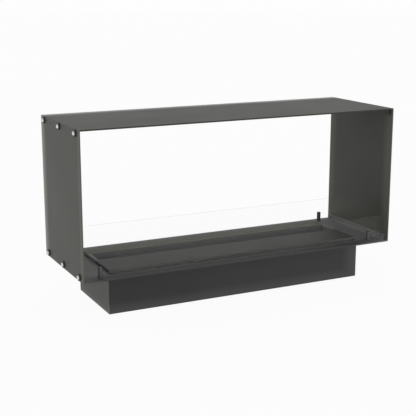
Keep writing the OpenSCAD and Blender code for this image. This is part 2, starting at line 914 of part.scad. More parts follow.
module fan_frame() {
    corner = 4;
    hole_r = 2.1;
    hole_in = 5;
    difference() {
        translate([0, -fan_size / 2, 0]) linear_extrude(fan_d)
            rounded_rect(fan_size, fan_size, corner);
        translate([0, 0, -cut]) cylinder(r = fan_duct_r, h = fan_d + 2 * cut);
        for (x = [-1, 1], y = [-1, 1])
            translate([x * (fan_size / 2 - hole_in), y * (fan_size / 2 - hole_in), -cut])
                cylinder(r = hole_r, h = fan_d + 2 * cut);
    }
    translate([0, 0, fan_d - strut_t]) {
        cylinder(r = hub_r, h = strut_t);
        for (a = [45:90:315]) rotate(a) translate([0, -strut_w / 2, 0])
            cube([fan_duct_r + fan_wall / 3, strut_w, strut_t]);
    }
    translate([0, 0, axle_foot]) cylinder(r = axle_r, h = fan_d - strut_t - axle_foot);
}

module fan_frames() {
    color(black_plastic) for (x = fan_x) at_fan(x) fan_frame();
}

// Rotor with cambered blades: each is a slice of a thin tube that lies radially
module fan_blade() {
    root = hub_r - 1;
    side_gap = 0.5;
    intersection() {
        translate([0, 0, rotor_gap + side_gap]) cylinder(r = tip_r, h = rotor_d - 2 * side_gap);
        translate([root, 0, rotor_gap + rotor_d / 2]) rotate([0, 90, 0]) rotate(blade_pitch)
            linear_extrude(tip_r + cut - root) translate([-camber_r, 0]) difference() {
                circle(camber_r);
                circle(camber_r - blade_t);
                translate([-2 * camber_r, -camber_r]) square([2.9 * camber_r, 2 * camber_r]);
            }
    }
}

module fan_rotor() {
    difference() {
        union() {
            translate([0, 0, rotor_gap]) cylinder(r = hub_r, h = rotor_d);
            for (i = [0:blade_n - 1]) rotate(i * 360 / blade_n) fan_blade();
        }
        translate([0, 0, rotor_gap + hub_front]) cylinder(r = axle_r + fit, h = rotor_d);
        translate([0, 0, rotor_gap + 2 * hub_front]) cylinder(r = hub_r - 2, h = rotor_d);
    }
}

module left_fan_rotor() {
    color("#303235") at_fan(fan_x[0]) fan_rotor();
}

module middle_fan_rotor() {
    color("#303235") at_fan(fan_x[1]) fan_rotor();
}

module right_fan_rotor() {
    color("#303235") at_fan(fan_x[2]) fan_rotor();
}

// Water tank: a moulded box with a welded lid
module tank_form(grow, low, high) {
    l = tank_right - bay_left;
    translate([(tank_right + bay_left) / 2, bay_front + grow, low]) linear_extrude(high - low)
        rounded_rect(l - 2 * grow, bay_rear - bay_front - 2 * grow, tank_r - grow);
}

module water_tank() {
    color("#c9d6de") difference() {
        tank_form(0, case_floor, tank_top - tank_t);
        tank_form(tank_t, case_floor + tank_t, tank_top);
        translate([tank_right - tank_t / 2, pipe_y, pipe_h]) rotate([0, 90, 0])
            cylinder(r = pipe_r + fit, h = tank_t + 2 * cut, center = true);
    }
}

// Square foot of the filler neck, and the hole for it in the tank's lid
module neck_square(low, high) {
    half = neck_r + neck_foot;
    block([filler_x - half, bay_y - half, low], [filler_x + half, bay_y + half, high]);
}

module tank_lid() {
    color("#c9d6de") difference() {
        tank_form(0, tank_top - tank_t, tank_top);
        neck_square(tank_top - tank_t - cut, tank_top + cut);
    }
}

// Filler neck: its foot is welded into the lid, and its lugs hold the cap
module tank_neck() {
    lug = [8, 3];
    lug_drop = 4;
    color("#c9d6de") difference() {
        union() {
            neck_square(tank_top - tank_t, tank_top);
            translate([filler_x, bay_y, tank_top]) {
                cylinder(r = neck_r, h = neck_h);
                for (a = [0, 180]) rotate(a)
                    translate([neck_r - 1, -lug.x / 2, neck_h - lug_drop])
                        cube([1 + lug_out, lug.x, lug.y]);
            }
        }
        translate([filler_x, bay_y, tank_top - tank_t - cut])
            cylinder(r = neck_r - neck_wall, h = tank_t + neck_h + 2 * cut);
    }
}

module cap_seal() {
    color("#404040") translate([filler_x, bay_y, neck_top]) difference() {
        cylinder(r = neck_r, h = seal_t);
        translate([0, 0, -cut]) cylinder(r = neck_r - neck_wall, h = seal_t + 2 * cut);
    }
}

// Quarter-turn cap with finger scallops round its skirt
module tank_cap() {
    skirt_lift = 1.5;
    skirt = neck_h - skirt_lift + seal_t;
    scallop_r = 4;
    scallop_deep = 1.5;
    outer = cap_in + cap_t;
    color("#2f5f8f") translate([filler_x, bay_y, neck_top + seal_t]) difference() {
        translate([0, 0, -skirt]) cylinder(r = outer, h = skirt + cap_t);
        translate([0, 0, -skirt - cut]) cylinder(r = cap_in, h = skirt + cut);
        for (i = [0:scallops - 1]) rotate(i * 360 / scallops)
            translate([outer + scallop_r - scallop_deep, 0, -skirt - cut])
                cylinder(r = scallop_r, h = skirt + cap_t + 2 * cut);
    }
}

// Water pipes and the solenoid valve between tank and basin
module pipe(points) {
    difference() {
        run(points, pipe_r, pipe_bend);
        run(points, pipe_r - pipe_t, pipe_bend);
    }
}

module outlet_pipe() {
    color("#d8dcdf") pipe([[tank_right - tank_t, pipe_y, pipe_h],
                           [valve_x - valve_w / 2, pipe_y, pipe_h]]);
}

module feed_pipe() {
    color("#d8dcdf") pipe([[valve_x + valve_w / 2, pipe_y, pipe_h], [feed_x, pipe_y, pipe_h],
                           [feed_x, basin_front + basin_t, pipe_h]]);
}

module feed_valve() {
    body_w = 26;
    coil_r = 13;
    coil_h = 30;
    coil_z = pipe_h + 12;
    yoke = [6, 6, 22];
    nut_r = 5;
    nut_t = 4;
    color("#b8923f") block([valve_x - valve_w / 2, pipe_y - body_w / 2, case_floor],
                           [valve_x + valve_w / 2, pipe_y + body_w / 2, coil_z]);
    color(black_plastic) translate([valve_x, pipe_y, coil_z]) {
        cylinder(r = coil_r, h = coil_h);
        translate([0, 0, coil_h]) cylinder(r = nut_r, h = nut_t);
        translate([0, -yoke.y / 2, (coil_h - yoke.z) / 2]) cube([coil_r + yoke.x, yoke.y, yoke.z]);
    }
}

// Power supply: vented box with a terminal step at its left end
module power_supply() {
    low = [supply_x - supply_l / 2, bay_y - supply_w / 2, case_floor];
    high = [supply_x + supply_l / 2, bay_y + supply_w / 2, case_floor + supply_h];
    vent_deep = 1.5;
    vent_step = [12, supply_w / 4];
    vents = floor((supply_l - supply_step.x - 2 * vent_step.x) / vent_step.x);
    vents_x = supply_x + (supply_step.x - (vents - 1) * vent_step.x) / 2;
    color("#a9adaf") difference() {
        block(low, high);
        block([low.x - cut, low.y - cut, high.z - supply_step.y],
              [low.x + supply_step.x, high.y + cut, high.z + cut]);
        for (i = [0:vents - 1], j = [-1:1])
            translate([vents_x + i * vent_step.x, bay_y + j * vent_step.y, high.z - vent_deep])
                rotate(90) linear_extrude(vent_deep + cut) slot_2d(vent_step.y * 2 / 3, 3);
    }
}

module supply_terminals() {
    ways = 7;
    end = 8;
    l = supply_w - 2 * end;
    strip = [supply_step.x - 2, l, 11];
    screw_head = 3;
    screw_deep = 3;
    low = [supply_x - supply_l / 2, bay_y - l / 2, case_floor + supply_h - supply_step.y];
    color("#2a2c2e") translate(low) difference() {
        cube(strip);
        for (i = [0:ways - 1])
            translate([strip.x / 2, (i + 0.5) * l / ways, strip.z - screw_deep])
                cylinder(r = screw_head, h = screw_deep + cut);
    }
}

// Control board on four standoffs, with its parts soldered on
module control_board() {
    color("#2f6b45") block([board_x - board_l / 2, bay_y - board_w / 2, board_z],
                           [board_x + board_l / 2, bay_y + board_w / 2, board_z + board_t]);
}

module board_standoffs() {
    inset = 6;
    post_r = 3;
    color(steel) for (x = [-1, 1], y = [-1, 1])
        translate([board_x + x * (board_l / 2 - inset), bay_y + y * (board_w / 2 - inset), case_floor])
            cylinder(r = post_r, h = standoff_h);
}

module board_parts() {
    margin = 14;
    relay = [16, 20, 15];
    relay_pitch = 22;
    drum_r = 5;
    drum_h = 14;
    drum_pitch = 14;
    ways = 9;
    way = [7.5, 9, 11];
    way_hole = [2.2, 3];
    sink = [24, 26, 4];
    fin = [2, 26, 14];
    fins = 6;
    left = -board_l / 2 + margin;
    translate([board_x, bay_y, board_z + board_t]) {
        color("#1f4f8f") for (i = [0:2])
            translate([left + i * relay_pitch, board_w / 2 - margin - relay.y, 0]) cube(relay);
        color("#333333") for (i = [0:3])
            translate([left + drum_r + i * drum_pitch, 0, 0]) cylinder(r = drum_r, h = drum_h);
        color("#3f7f3f") translate([left, -board_w / 2 + 2, 0]) difference() {
            cube([ways * way.x, way.y, way.z]);
            for (i = [0:ways - 1])
                translate([(i + 0.5) * way.x, way.y / 2, way.z - way_hole.y])
                    cylinder(r = way_hole.x, h = way_hole.y + cut);
        }
        color(steel) translate([board_l / 2 - sink.x - margin / 2, -sink.y / 2, 0]) {
            cube(sink);
            for (i = [0:fins - 1])
                translate([i * (sink.x - fin.x) / (fins - 1), 0, sink.z]) cube(fin);
        }
    }
}

// Mains inlet and rocker switch in the case's rear wall
module at_inlet_screws() {
    for (x = [-1, 1]) translate(inlet_at + [x * (inlet_flange.x / 2 - inlet_screw_in), 0, 0])
        rotate([-90, 0, 0]) children();
}

module mains_inlet() {
    wall = inlet_flange.z;
    color(black_plastic) difference() {
        translate(inlet_at) {
            translate([0, wall, -inlet_flange.y / 2]) rotate([90, 0, 0])
                linear_extrude(wall) rounded_rect(inlet_flange.x, inlet_flange.y, 3);
            translate([0, 0, -inlet_body.y / 2]) rotate([90, 0, 0])
                linear_extrude(inlet_depth) rounded_rect(inlet_body.x, inlet_body.y, 1);
        }
        translate(inlet_at + [0, wall + cut, -socket_size.y / 2]) rotate([90, 0, 0])
            linear_extrude(inlet_depth - 1 + cut) socket_outline();
        at_inlet_screws() translate([0, 0, -cut])
            cylinder(r = inlet_screw_r + hole_gap, h = wall + 2 * cut);
    }
}

// Socket outline with its two upper corners cut off
module socket_outline() {
    w = socket_size.x / 2;
    h = socket_size.y;
    corner = 4.5;
    polygon([[-w, 0], [w, 0], [w, h - corner], [w - corner, h], [-w + corner, h], [-w, h - corner]]);
}

module inlet_pins() {
    pin = [2, 10, 4];
    floor_y = inlet_flange.z - inlet_depth + 1;
    color(steel) for (p = [[-7, -1.5], [0, 2.5], [7, -1.5]])
        translate(inlet_at + [p.x - pin.x / 2, floor_y, p.y - pin.z / 2]) cube(pin);
}

module inlet_screws() {
    head = 2.8;
    bevel = 0.8;
    head_t = 1.4;
    tail = 2;
    color(steel) at_inlet_screws() {
        translate([0, 0, -case_t - tail])
            cylinder(r = inlet_screw_r, h = case_t + tail + inlet_flange.z);
        translate([0, 0, inlet_flange.z]) cylinder(r1 = head, r2 = head - bevel, h = head_t);
    }
}

module rocker_pivot(grow, reach) {
    translate(switch_at - [0, pivot_in, 0]) rotate([0, 90, 0])
        cylinder(r = pivot_r + grow, h = rocker_w + 2 * reach, center = true);
}

module switch_housing() {
    well = [rocker_w + 2 * rocker_gap, 2 * (rocker_r + rocker_gap)];
    wall = switch_flange.z;
    color(black_plastic) difference() {
        translate(switch_at) {
            translate([0, wall, -switch_flange.y / 2]) rotate([90, 0, 0])
                linear_extrude(wall) rounded_rect(switch_flange.x, switch_flange.y, 2);
            translate([0, 0, -switch_body.y / 2]) rotate([90, 0, 0])
                linear_extrude(switch_depth) rounded_rect(switch_body.x, switch_body.y, 1);
        }
        translate(switch_at + [0, wall + cut, -well.y / 2]) rotate([90, 0, 0])
            linear_extrude(wall + cut + pivot_in + switch_well) rounded_rect(well.x, well.y, 0.5);
        rocker_pivot(fit, 2);
    }
}

// Rocker seen from its end: two flats that meet over the pivot, round ends
module rocker_outline() {
    rise = 4.6;
    drop = 4;
    reach = rocker_r + cut;
    tip = rise + reach * tan(rocker_tilt);
    intersection() {
        circle(rocker_r);
        polygon([[-reach, -drop], [reach, -drop], [reach, tip], [0, rise], [-reach, tip]]);
    }
}

module switch_rocker() {
    color("#26282a") {
        translate(switch_at - [rocker_w / 2, pivot_in, 0]) rotate([rocker_tilt, 0, 0])
            rotate([90, 0, 90]) linear_extrude(rocker_w) rotate(-90) rocker_outline();
        rocker_pivot(0, 1.8);
    }
}

// Wiring inside the unit, laid on the case's floor
module mains_wiring() {
    low = case_floor + mains_r;
    side = bay_right - mains_lane;
    back = inlet_at.y - inlet_depth - 2 * mains_bend;
    color("#2c2c2c") run([
        [inlet_at.x, inlet_at.y - inlet_depth, inlet_at.z],
        [inlet_at.x, back, inlet_at.z], [inlet_at.x, back, low],
        [side, back, low], [side, bay_y, low],
        [supply_x + supply_l / 2, bay_y, low]], mains_r, mains_bend);
}

module board_wiring() {
    tail = 10;
    side_gap = 3;
    low = case_floor + loom_r;
    back = case_rear - loom_back;
    side = bay_right - loom_lane;
    lane = basin_front - loom_r - side_gap;
    color("#5a2d2d") run([
        [board_x, bay_y + board_w / 2 - tail, low], [board_x, lane, low],
        [side, lane, low], [side, back, low], [fan_x[0], back, low]], loom_r, loom_bend);
}

left_side_panel();
right_side_panel();
top_panel();
floor_panel();
left_screws();
right_screws();
left_washers();
right_washers();
plinth_front_wall();
plinth_rear_wall();
plinth_left_wall();
plinth_right_wall();
plinth_base();
front_glass();
rear_glass();
front_glass_pins();
rear_glass_pins();
pin_nuts();
unit_case();
unit_pads();
front_cover();
rear_cover();
flame_trough();
front_led_bar();
rear_led_bar();
led_lenses();
led_strips();
basin_gasket();
mist_basin();
mist_makers();
ceramic_discs();
disc_rings();
float_stem();
float_clips();
level_float();
fan_frames();
left_fan_rotor();
middle_fan_rotor();
right_fan_rotor();
water_tank();
tank_lid();
tank_neck();
tank_cap();
cap_seal();
outlet_pipe();
feed_valve();
feed_pipe();
power_supply();
supply_terminals();
control_board();
board_parts();
board_standoffs();
mains_inlet();
inlet_pins();
inlet_screws();
switch_housing();
switch_rocker();
mains_wiring();
board_wiring();
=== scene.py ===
import math

import bmesh
import bpy
import numpy as np
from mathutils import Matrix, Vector


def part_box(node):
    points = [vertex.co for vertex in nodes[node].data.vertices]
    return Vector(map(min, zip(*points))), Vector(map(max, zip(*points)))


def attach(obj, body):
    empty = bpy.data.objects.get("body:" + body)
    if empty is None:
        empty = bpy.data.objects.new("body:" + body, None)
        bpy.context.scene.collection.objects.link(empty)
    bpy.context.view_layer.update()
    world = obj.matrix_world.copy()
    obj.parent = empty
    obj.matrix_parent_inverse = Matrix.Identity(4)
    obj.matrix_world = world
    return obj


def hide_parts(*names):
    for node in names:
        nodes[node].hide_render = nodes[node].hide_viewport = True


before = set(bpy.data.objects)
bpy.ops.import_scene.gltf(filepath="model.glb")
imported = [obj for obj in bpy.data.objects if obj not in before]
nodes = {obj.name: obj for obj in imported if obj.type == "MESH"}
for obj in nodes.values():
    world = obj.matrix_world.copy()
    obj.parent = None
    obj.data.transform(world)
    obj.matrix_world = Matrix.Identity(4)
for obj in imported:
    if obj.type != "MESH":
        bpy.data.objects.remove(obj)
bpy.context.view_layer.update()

mm = 0.001

# Camera: a long lens about a metre up, to the left of the hearth's middle. The
# distance and the two angles come from the vanishing lines of the frame.
aim_at = Vector((-0.0533, 0.0012, 0.2885))
camera_distance = 3.4607
camera_azimuth = math.radians(-26.236)
camera_elevation = math.radians(13.229)
lens_mm = 83.02

back = Vector((
    math.sin(camera_azimuth) * math.cos(camera_elevation),
    -math.cos(camera_azimuth) * math.cos(camera_elevation),
    math.sin(camera_elevation),
))
camera = bpy.data.objects.new("camera", bpy.data.cameras.new("camera"))
camera.data.lens = lens_mm
camera.data.sensor_width = 36
camera.location = aim_at + back * camera_distance
camera.rotation_mode = "QUATERNION"
camera.rotation_quaternion = (-back).to_track_quat("-Z", "Y")
bpy.context.scene.collection.objects.link(camera)
bpy.context.scene.camera = camera
bpy.context.scene.view_settings.view_transform = "Standard"


# Studio: a wide white floor under a sky that is white at the horizon and
# greyer overhead. The floor is seen as white as it is written, and it keeps a
# faint shadow.
class Signal:
    """One shader socket. Arithmetic on it adds Math nodes to the finish that it belongs to."""

    def __init__(self, finish, socket):
        self.finish, self.socket = finish, socket

    def math(self, operation, *others, clamp=False):
        """A Math node whose first value is this signal."""
        settings = {"operation": operation, "use_clamp": clamp}
        return self.finish.add("ShaderNodeMath", settings, dict(enumerate((self, *others))))

    def __add__(self, other):
        return self.math("ADD", other)

    def __sub__(self, other):
        return self.math("SUBTRACT", other)

    def __rsub__(self, other):
        return self.math("MULTIPLY_ADD", -1.0, other)

    def __mul__(self, other):
        return self.math("MULTIPLY", other)

    def __truediv__(self, other):
        return self.math("DIVIDE", other)

    __radd__, __rmul__ = __add__, __mul__

    def rise(self, low, high):
        """0 up to low, 1 from high on, and a smooth step between them."""
        settings = {"interpolation_type": "SMOOTHSTEP"}
        return self.finish.add("ShaderNodeMapRange", settings, {0: self, 1: low, 2: high})


class Finish:
    """A node tree in the making."""

    def __init__(self, tree):
        self.tree = tree
        tree.nodes.clear()

    def add(self, kind, settings=(), inputs=(), output=0):
        """Makes any node: its settings come first, then its sockets. A colour is three numbers."""
        node = self.tree.nodes.new(kind)
        for name, value in dict(settings).items():
            setattr(node, name, value)
        for name, value in dict(inputs).items():
            socket = node.inputs[name]
            if isinstance(value, Signal):
                self.tree.links.new(value.socket, socket)
            else:
                socket.default_value = (*value, 1) if socket.type == "RGBA" else value
        return Signal(self, node.outputs[output]) if node.outputs else None

    def place(self):
        """Object coordinates, in metres."""
        return self.add("ShaderNodeTexCoord", output="Object")

    def axes(self, vector):
        """The three numbers of a vector."""
        split = self.add("ShaderNodeSeparateXYZ", inputs={0: vector}).socket.node
        return [Signal(self, socket) for socket in split.outputs]

    def stretch(self, vector, scale, turn=(0, 0, 0)):
        """A vector scaled and turned by a Mapping node."""
        return self.add("ShaderNodeMapping", inputs={"Vector": vector, "Scale": scale, "Rotation": turn})

    def noise(self, vector, scale, detail=2.0, rough=0.5):
        """Fractal noise from 0 to 1 at so many waves a metre."""
        inputs = {"Vector": vector, "Scale": scale, "Detail": detail, "Roughness": rough}
        return self.add("ShaderNodeTexNoise", inputs=inputs)

    def blend(self, share, first, second):
        """Colour that goes from first to second as share goes from 0 to 1."""
        inputs = {0: share, 6: first, 7: second}
        return self.add("ShaderNodeMix", {"data_type": "RGBA"}, inputs, output=2)

    def bump(self, height, depth):
        """Surface normal of a relief that is depth metres deep."""
        return self.add("ShaderNodeBump", inputs={"Height": height, "Distance": depth})

    def surface(self, shader):
        """Ends the tree in a shader."""
        self.add("ShaderNodeOutputMaterial", inputs={"Surface": shader})

    def skin(self, colour, roughness, **others):
        """The finish of a surface. Names of others are Principled sockets with underscores."""
        inputs = {name.replace("_", " "): value for name, value in others.items()}
        inputs.update({"Base Color": colour, "Roughness": roughness})
        self.surface(self.add("ShaderNodeBsdfPrincipled", inputs=inputs))


def new_finish(name):
    """A material and the Finish that fills it."""
    material = bpy.data.materials.new(name)
    material.use_nodes = True
    return material, Finish(material.node_tree)


def seen_directly(finish):
    """1 for camera, glossy and transmitted rays, 0 for the rays that light things."""
    rays = finish.add("ShaderNodeLightPath").socket.node.outputs
    names = ("Is Camera Ray", "Is Glossy Ray", "Is Transmission Ray")
    camera_ray, glossy_ray, passing_ray = (Signal(finish, rays[name]) for name in names)
    return camera_ray.math("MAXIMUM", glossy_ray).math("MAXIMUM", passing_ray)


sky_white = (0.985, 0.985, 0.985)
sky_grey = (0.66, 0.66, 0.66)
sky_rise = 0.5
floor_white = (0.997, 0.997, 0.997)
floor_paint = (0.86, 0.86, 0.86)
floor_shadow = 0.05
floor_half = 30.0

world = bpy.data.worlds.new("studio")
world.use_nodes = True
bpy.context.scene.world = world
sky = Finish(world.node_tree)
upwards = sky.axes(sky.add("ShaderNodeTexCoord", output="Generated"))[2]
glow = sky.blend(upwards.rise(0.0, sky_rise), sky_white, sky_grey)
background = sky.add("ShaderNodeBackground", inputs={"Color": glow, "Strength": 1.0})
sky.add("ShaderNodeOutputWorld", inputs={"Surface": background})

floor_mesh = bpy.data.meshes.new("floor")
corners = np.array([(-1, -1, 0), (1, -1, 0), (1, 1, 0), (-1, 1, 0)]) * floor_half
floor_mesh.from_pydata(corners.tolist(), [], [(0, 1, 2, 3)])
floor = bpy.data.objects.new("floor", floor_mesh)
bpy.context.scene.collection.objects.link(floor)
white_floor, paint = new_finish("white_floor")
lit = paint.add("ShaderNodeBsdfDiffuse", inputs={"Color": floor_paint})
flat_white = paint.add("ShaderNodeEmission", inputs={"Color": floor_white, "Strength": 1.0})
share = seen_directly(paint) * (1 - floor_shadow)
paint.surface(paint.add("ShaderNodeMixShader", inputs={0: share, 1: lit, 2: flat_white}))
floor_mesh.materials.append(white_floor)


# Steel sheets of the frame: side panels, top and floor. They are laser-cut mild
# steel, screwed together at welded flange bars, with a fine-textured anthracite
# powder coat. The sheets' tints are lit copies of the coat, and paler strips
# along their borders are painted light: brighter near the open front and rear,
# and lifting the shade in corners and where parts shadow them.
coat_olive = (0.0255, 0.0262, 0.0165)
# A darker, greyer copy of the coat: painted shade on the plinth's walls and base, and the ground of the
# lit copies painted on the floor and trough.
coat_shade_grey = (0.0200, 0.0200, 0.0195)
# How many times brighter the painted light along the borders is than the coat.
coat_painted_gain = 1.9
coat_clouds = 5.0
coat_peel = 160.0
coat_grain = 750.0
coat_depth = 0.05 * mm
coat_matt = 0.52
# Usual width of the painted light along a sheet's borders.
painted_border_width = 26 * mm
border_gloss = 0.35
# Width of the painted highlight on the sheets' cut faces.
cut_face = 0.8 * mm
edge_round = 0.6 * mm
weld_within = 0.005 * mm
flat_within = math.radians(0.5)
edge_over = math.radians(40)


def shaded(tint, share):
    """A tint at another strength."""
    return tuple(share * part for part in tint)


def dress(node, material):
    """Gives a CAD node its material."""
    nodes[node].data.materials.clear()
    nodes[node].data.materials.append(material)


def soften(node, width, segments=2):
    """Rounds a node's cut edges: its loose triangles are welded, and its sharp edges bevelled."""
    piece = nodes[node]
    weld = piece.modifiers.new("weld", "WELD")
    weld.merge_threshold = weld_within
    flat = piece.modifiers.new("flatten", "DECIMATE")
    flat.decimate_type = "DISSOLVE"
    flat.angle_limit = flat_within
    bevel = piece.modifiers.new("bevel", "BEVEL")
    bevel.width = width
    bevel.segments = segments
    bevel.limit_method = "ANGLE"
    bevel.angle_limit = edge_over
    bevel.harden_normals = True


def painted_border_light(finish, node, width, strips):
    """Share of painted light near a sheet's borders: it falls smoothly from a strip's strength to 0 over
    its width.

    A strip is a border, "-x" to "+z", then a strength and, where it isn't the usual one, a width.
    """
    low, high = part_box(node)
    place = finish.axes(finish.place())
    total = None
    for border, strength, *reach in strips:
        axis = "xyz".index(border[1])
        inside = place[axis] - low[axis] if border[0] == "-" else high[axis] - place[axis]
        part = (1 - inside.rise(0.0, reach[0] if reach else width)) * strength
        total = part if total is None else total.math("MAXIMUM", part)
    return total


def powder_coat(node, tint, strips, matt=coat_matt, width=painted_border_width, gloss=border_gloss,
                painted_gain=coat_painted_gain, beside=None):
    """Gives a node a fine-grained coat: clouds of tone, orange peel, and painted light along its
    borders.

    The strips are painted light: greyer, brighter by the given gain and, by gloss, smoother. Clouds and
    grain are as strong for any gain. beside gives a node before whose front painted light lifts the
    shade, how far, and how strongly.
    """
    material, coat = new_finish("coat_" + node)
    place = coat.place()
    clouds = coat.noise(place, coat_clouds, 3.0)
    grain = coat.noise(place, coat_grain, 1.0, 0.6)
    peel = coat.noise(place, coat_peel, 2.0)
    # Share of painted light along the borders.
    edge = painted_border_light(coat, node, width, strips)
    speckle = (coat_painted_gain - 1) / (painted_gain - 1)
    tone = ((clouds - 0.5) * 0.5 + (grain - 0.5) * 0.35) * speckle + edge
    # Painted light that lifts the shade in front of the neighbouring node.
    if beside:
        neighbour, reach, strength = beside
        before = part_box(neighbour)[0][1] - coat.axes(place)[1]
        tone = tone.math("MAXIMUM", (1 - before.rise(0.0, reach)) * strength)
    # Colour of the painted light: brighter and greyer than the tint.
    painted_light_tint = tuple(painted_gain * (part + sum(tint) / 3) / 2 for part in tint)
    colour = coat.blend(tone.math("ADD", 0.0, clamp=True), tint, painted_light_tint)
    roughness = matt + (clouds - 0.5) * 0.12 + (grain - 0.5) * 0.1 - edge * gloss
    coat.skin(colour, roughness, Normal=coat.bump(grain + peel * 0.8, coat_depth))
    dress(node, material)


# Painted light on the left panel: a lit copy of the coat, paler strips along its front and rear edges,
# and a painted highlight on its front cut face.
left_panel_painted_light = [("-y", 0.27), ("-y", 1.0, cut_face), ("+y", 1.1, 52 * mm)]
powder_coat("left_side_panel", shaded(coat_olive, 1.05), left_panel_painted_light, gloss=0.2, painted_gain=4.5)
# Painted light on the right panel's inner face: paler near its open front and rear edges, brightest on
# its front cut face, and lifted towards the bottom where shade falls.
inner_panel_painted_light = [("-y", 1.3, 62 * mm), ("-y", 1.6, cut_face), ("+y", 1.3, 52 * mm), ("-z", 1.1, 150 * mm)]
powder_coat("right_side_panel", coat_olive, inner_panel_painted_light, gloss=0, painted_gain=3.4)
# Painted light on the top: a lit copy of the coat, paler towards its rear edge.
powder_coat("top_panel", shaded(coat_olive, 1.08), [("+y", 0.85, 60 * mm)])
# Painted light on the floor panel: a lit copy of the grey coat, paler at the rear, a little at the left,
# along the right where shade falls by the side panel, and in front of the front cover where its shadow
# falls.
floor_panel_painted_light = [("+y", 0.72), ("+x", 0.8, 160 * mm), ("-x", 0.24)]
powder_coat("floor_panel", shaded(coat_shade_grey, 2.5), floor_panel_painted_light, matt=0.64, width=90 * mm, gloss=0.05,
            painted_gain=4.0, beside=("front_cover", 40 * mm, 0.6))
for name in ("left_side_panel", "right_side_panel", "top_panel"):
    soften(name, edge_round)


# Plinth: four walls and a base plate of the same steel, welded at their
# corners and coated once. The walls' tints are painted shade and light on that
# one coat, and paler strips at the foot of each wall, the front wall's right end
# and the base's front edge are painted reflection and light.
plinth_painted_light = [("-z", 0.8, 45 * mm), ("+x", 0.9, 70 * mm)]
powder_coat("plinth_front_wall", coat_shade_grey, plinth_painted_light, painted_gain=2.6)
powder_coat("plinth_rear_wall", coat_shade_grey, [("-z", 0.5, 50 * mm)])
powder_coat("plinth_left_wall", shaded(coat_olive, 0.92), [("-z", 0.3)])
powder_coat("plinth_right_wall", coat_olive, [("-z", 0.3)])
powder_coat("plinth_base", coat_shade_grey, [("-y", 0.2)])


# Side screws and washers: polished domed screws with a hexagon socket, on
# thick black nylon washers, six on each side panel. Their tips, inside the
# panels, have the coat of the bars that hold them.
panel_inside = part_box("right_side_panel")[0][0]
washer_round = 0.9 * mm
nylon_dark = (0.046, 0.046, 0.046)
nylon_light = (0.066, 0.066, 0.067)

screw_steel, polish = new_finish("polished_screw")
scuff = polish.noise(polish.place(), 900.0, 3.0)
outside = polish.axes(polish.place())[0].math("ABSOLUTE").rise(panel_inside, panel_inside + mm)
steel = polish.blend(scuff, (0.66, 0.66, 0.65), (0.78, 0.78, 0.77))
polish.skin(polish.blend(outside, coat_olive, steel), 0.50 - outside * 0.34 + scuff * 0.12,
            Metallic=outside, Normal=polish.bump(scuff, 0.02 * mm))
washer_nylon, nylon = new_finish("washer_nylon")
fleck = nylon.noise(nylon.place(), 1100.0, 2.0)
nylon.skin(nylon.blend(fleck, nylon_dark, nylon_light), 0.55 + fleck * 0.15,
           Normal=nylon.bump(fleck, 0.03 * mm))
for side in ("left", "right"):
    dress(side + "_screws", screw_steel)
    dress(side + "_washers", washer_nylon)
    soften(side + "_washers", washer_round, 3)


# Glass screens: clear toughened glass, 5 mm thick, with round corners and
# seamed, polished edges that show the green of the glass. Each stands in two
# slotted pins.
glass_corner = 3 * mm
glass_seam = 0.6 * mm
glass_presence = 0.10
glass_clear = (0.996, 0.998, 0.997)
edge_green = (0.30, 0.42, 0.36)
edge_presence = 0.16
face_from = 0.95
smooth_under = math.radians(35)
pin_dark = (0.085, 0.085, 0.086)
pin_light = (0.125, 0.125, 0.126)


def solid(rings):
    """Closed solid of a stack of rings: quads join neighbouring rings, and a polygon closes each end."""
    rows, columns = rings.shape[:2]
    row, column = np.meshgrid(np.arange(rows - 1), np.arange(columns), indexing="ij")
    corner = row * columns + column
    beside = row * columns + (column + 1) % columns
    quads = np.stack([corner, beside, beside + columns, corner + columns], -1).reshape(-1, 4)
    ends = np.stack([np.arange(columns)[::-1], np.arange(columns) + (rows - 1) * columns])
    return rings.reshape(-1, 3), (quads, ends)


def make_piece(name, shapes, material, body, replaced=()):
    """One object of several shapes, on a body. It takes the place of the CAD nodes in replaced."""
    points, faces, start = [], [], 0
    for shape_points, groups in shapes:
        points.append(shape_points)
        for group in groups:
            faces += (group + start).tolist()
        start += len(shape_points)
    mesh = bpy.data.meshes.new(name)
    mesh.from_pydata(np.concatenate(points).tolist(), [], faces)
    work = bmesh.new()
    work.from_mesh(mesh)
    bmesh.ops.recalc_face_normals(work, faces=work.faces)
    work.to_mesh(mesh)
    work.free()
    mesh.shade_smooth()
    mesh.set_sharp_from_angle(angle=smooth_under)
    mesh.materials.append(material)
    piece = bpy.data.objects.new(name, mesh)
    bpy.context.scene.collection.objects.link(piece)
    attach(piece, body)
    if replaced:
        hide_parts(*replaced)
    return piece


def pane_shape(low, high, corner, seam, steps=7):
    """Pane that faces Y: a rectangle with quarter-circle corners, drawn in by the seam at each face."""
    quarter = np.linspace(0, np.pi / 2, steps)
    angle = (quarter + np.arange(4)[:, None] * np.pi / 2).ravel()
    side = np.repeat([(1, 1), (-1, 1), (-1, -1), (1, -1)], steps, axis=0)
    half = np.array([high[0] - low[0], high[2] - low[2]]) / 2
    middle = np.array([high[0] + low[0], high[2] + low[2]]) / 2
    outward = np.stack([np.cos(angle), np.sin(angle)], 1)
    drawn_in = np.array([seam, 0, 0, seam])[:, None, None]
    level = np.array([low[1], low[1] + seam, high[1] - seam, high[1]])[:, None]
    flat = middle + side * (half - corner) + outward * (corner - drawn_in)
    return solid(np.stack([flat[..., 0], level + 0 * angle, flat[..., 1]], -1))


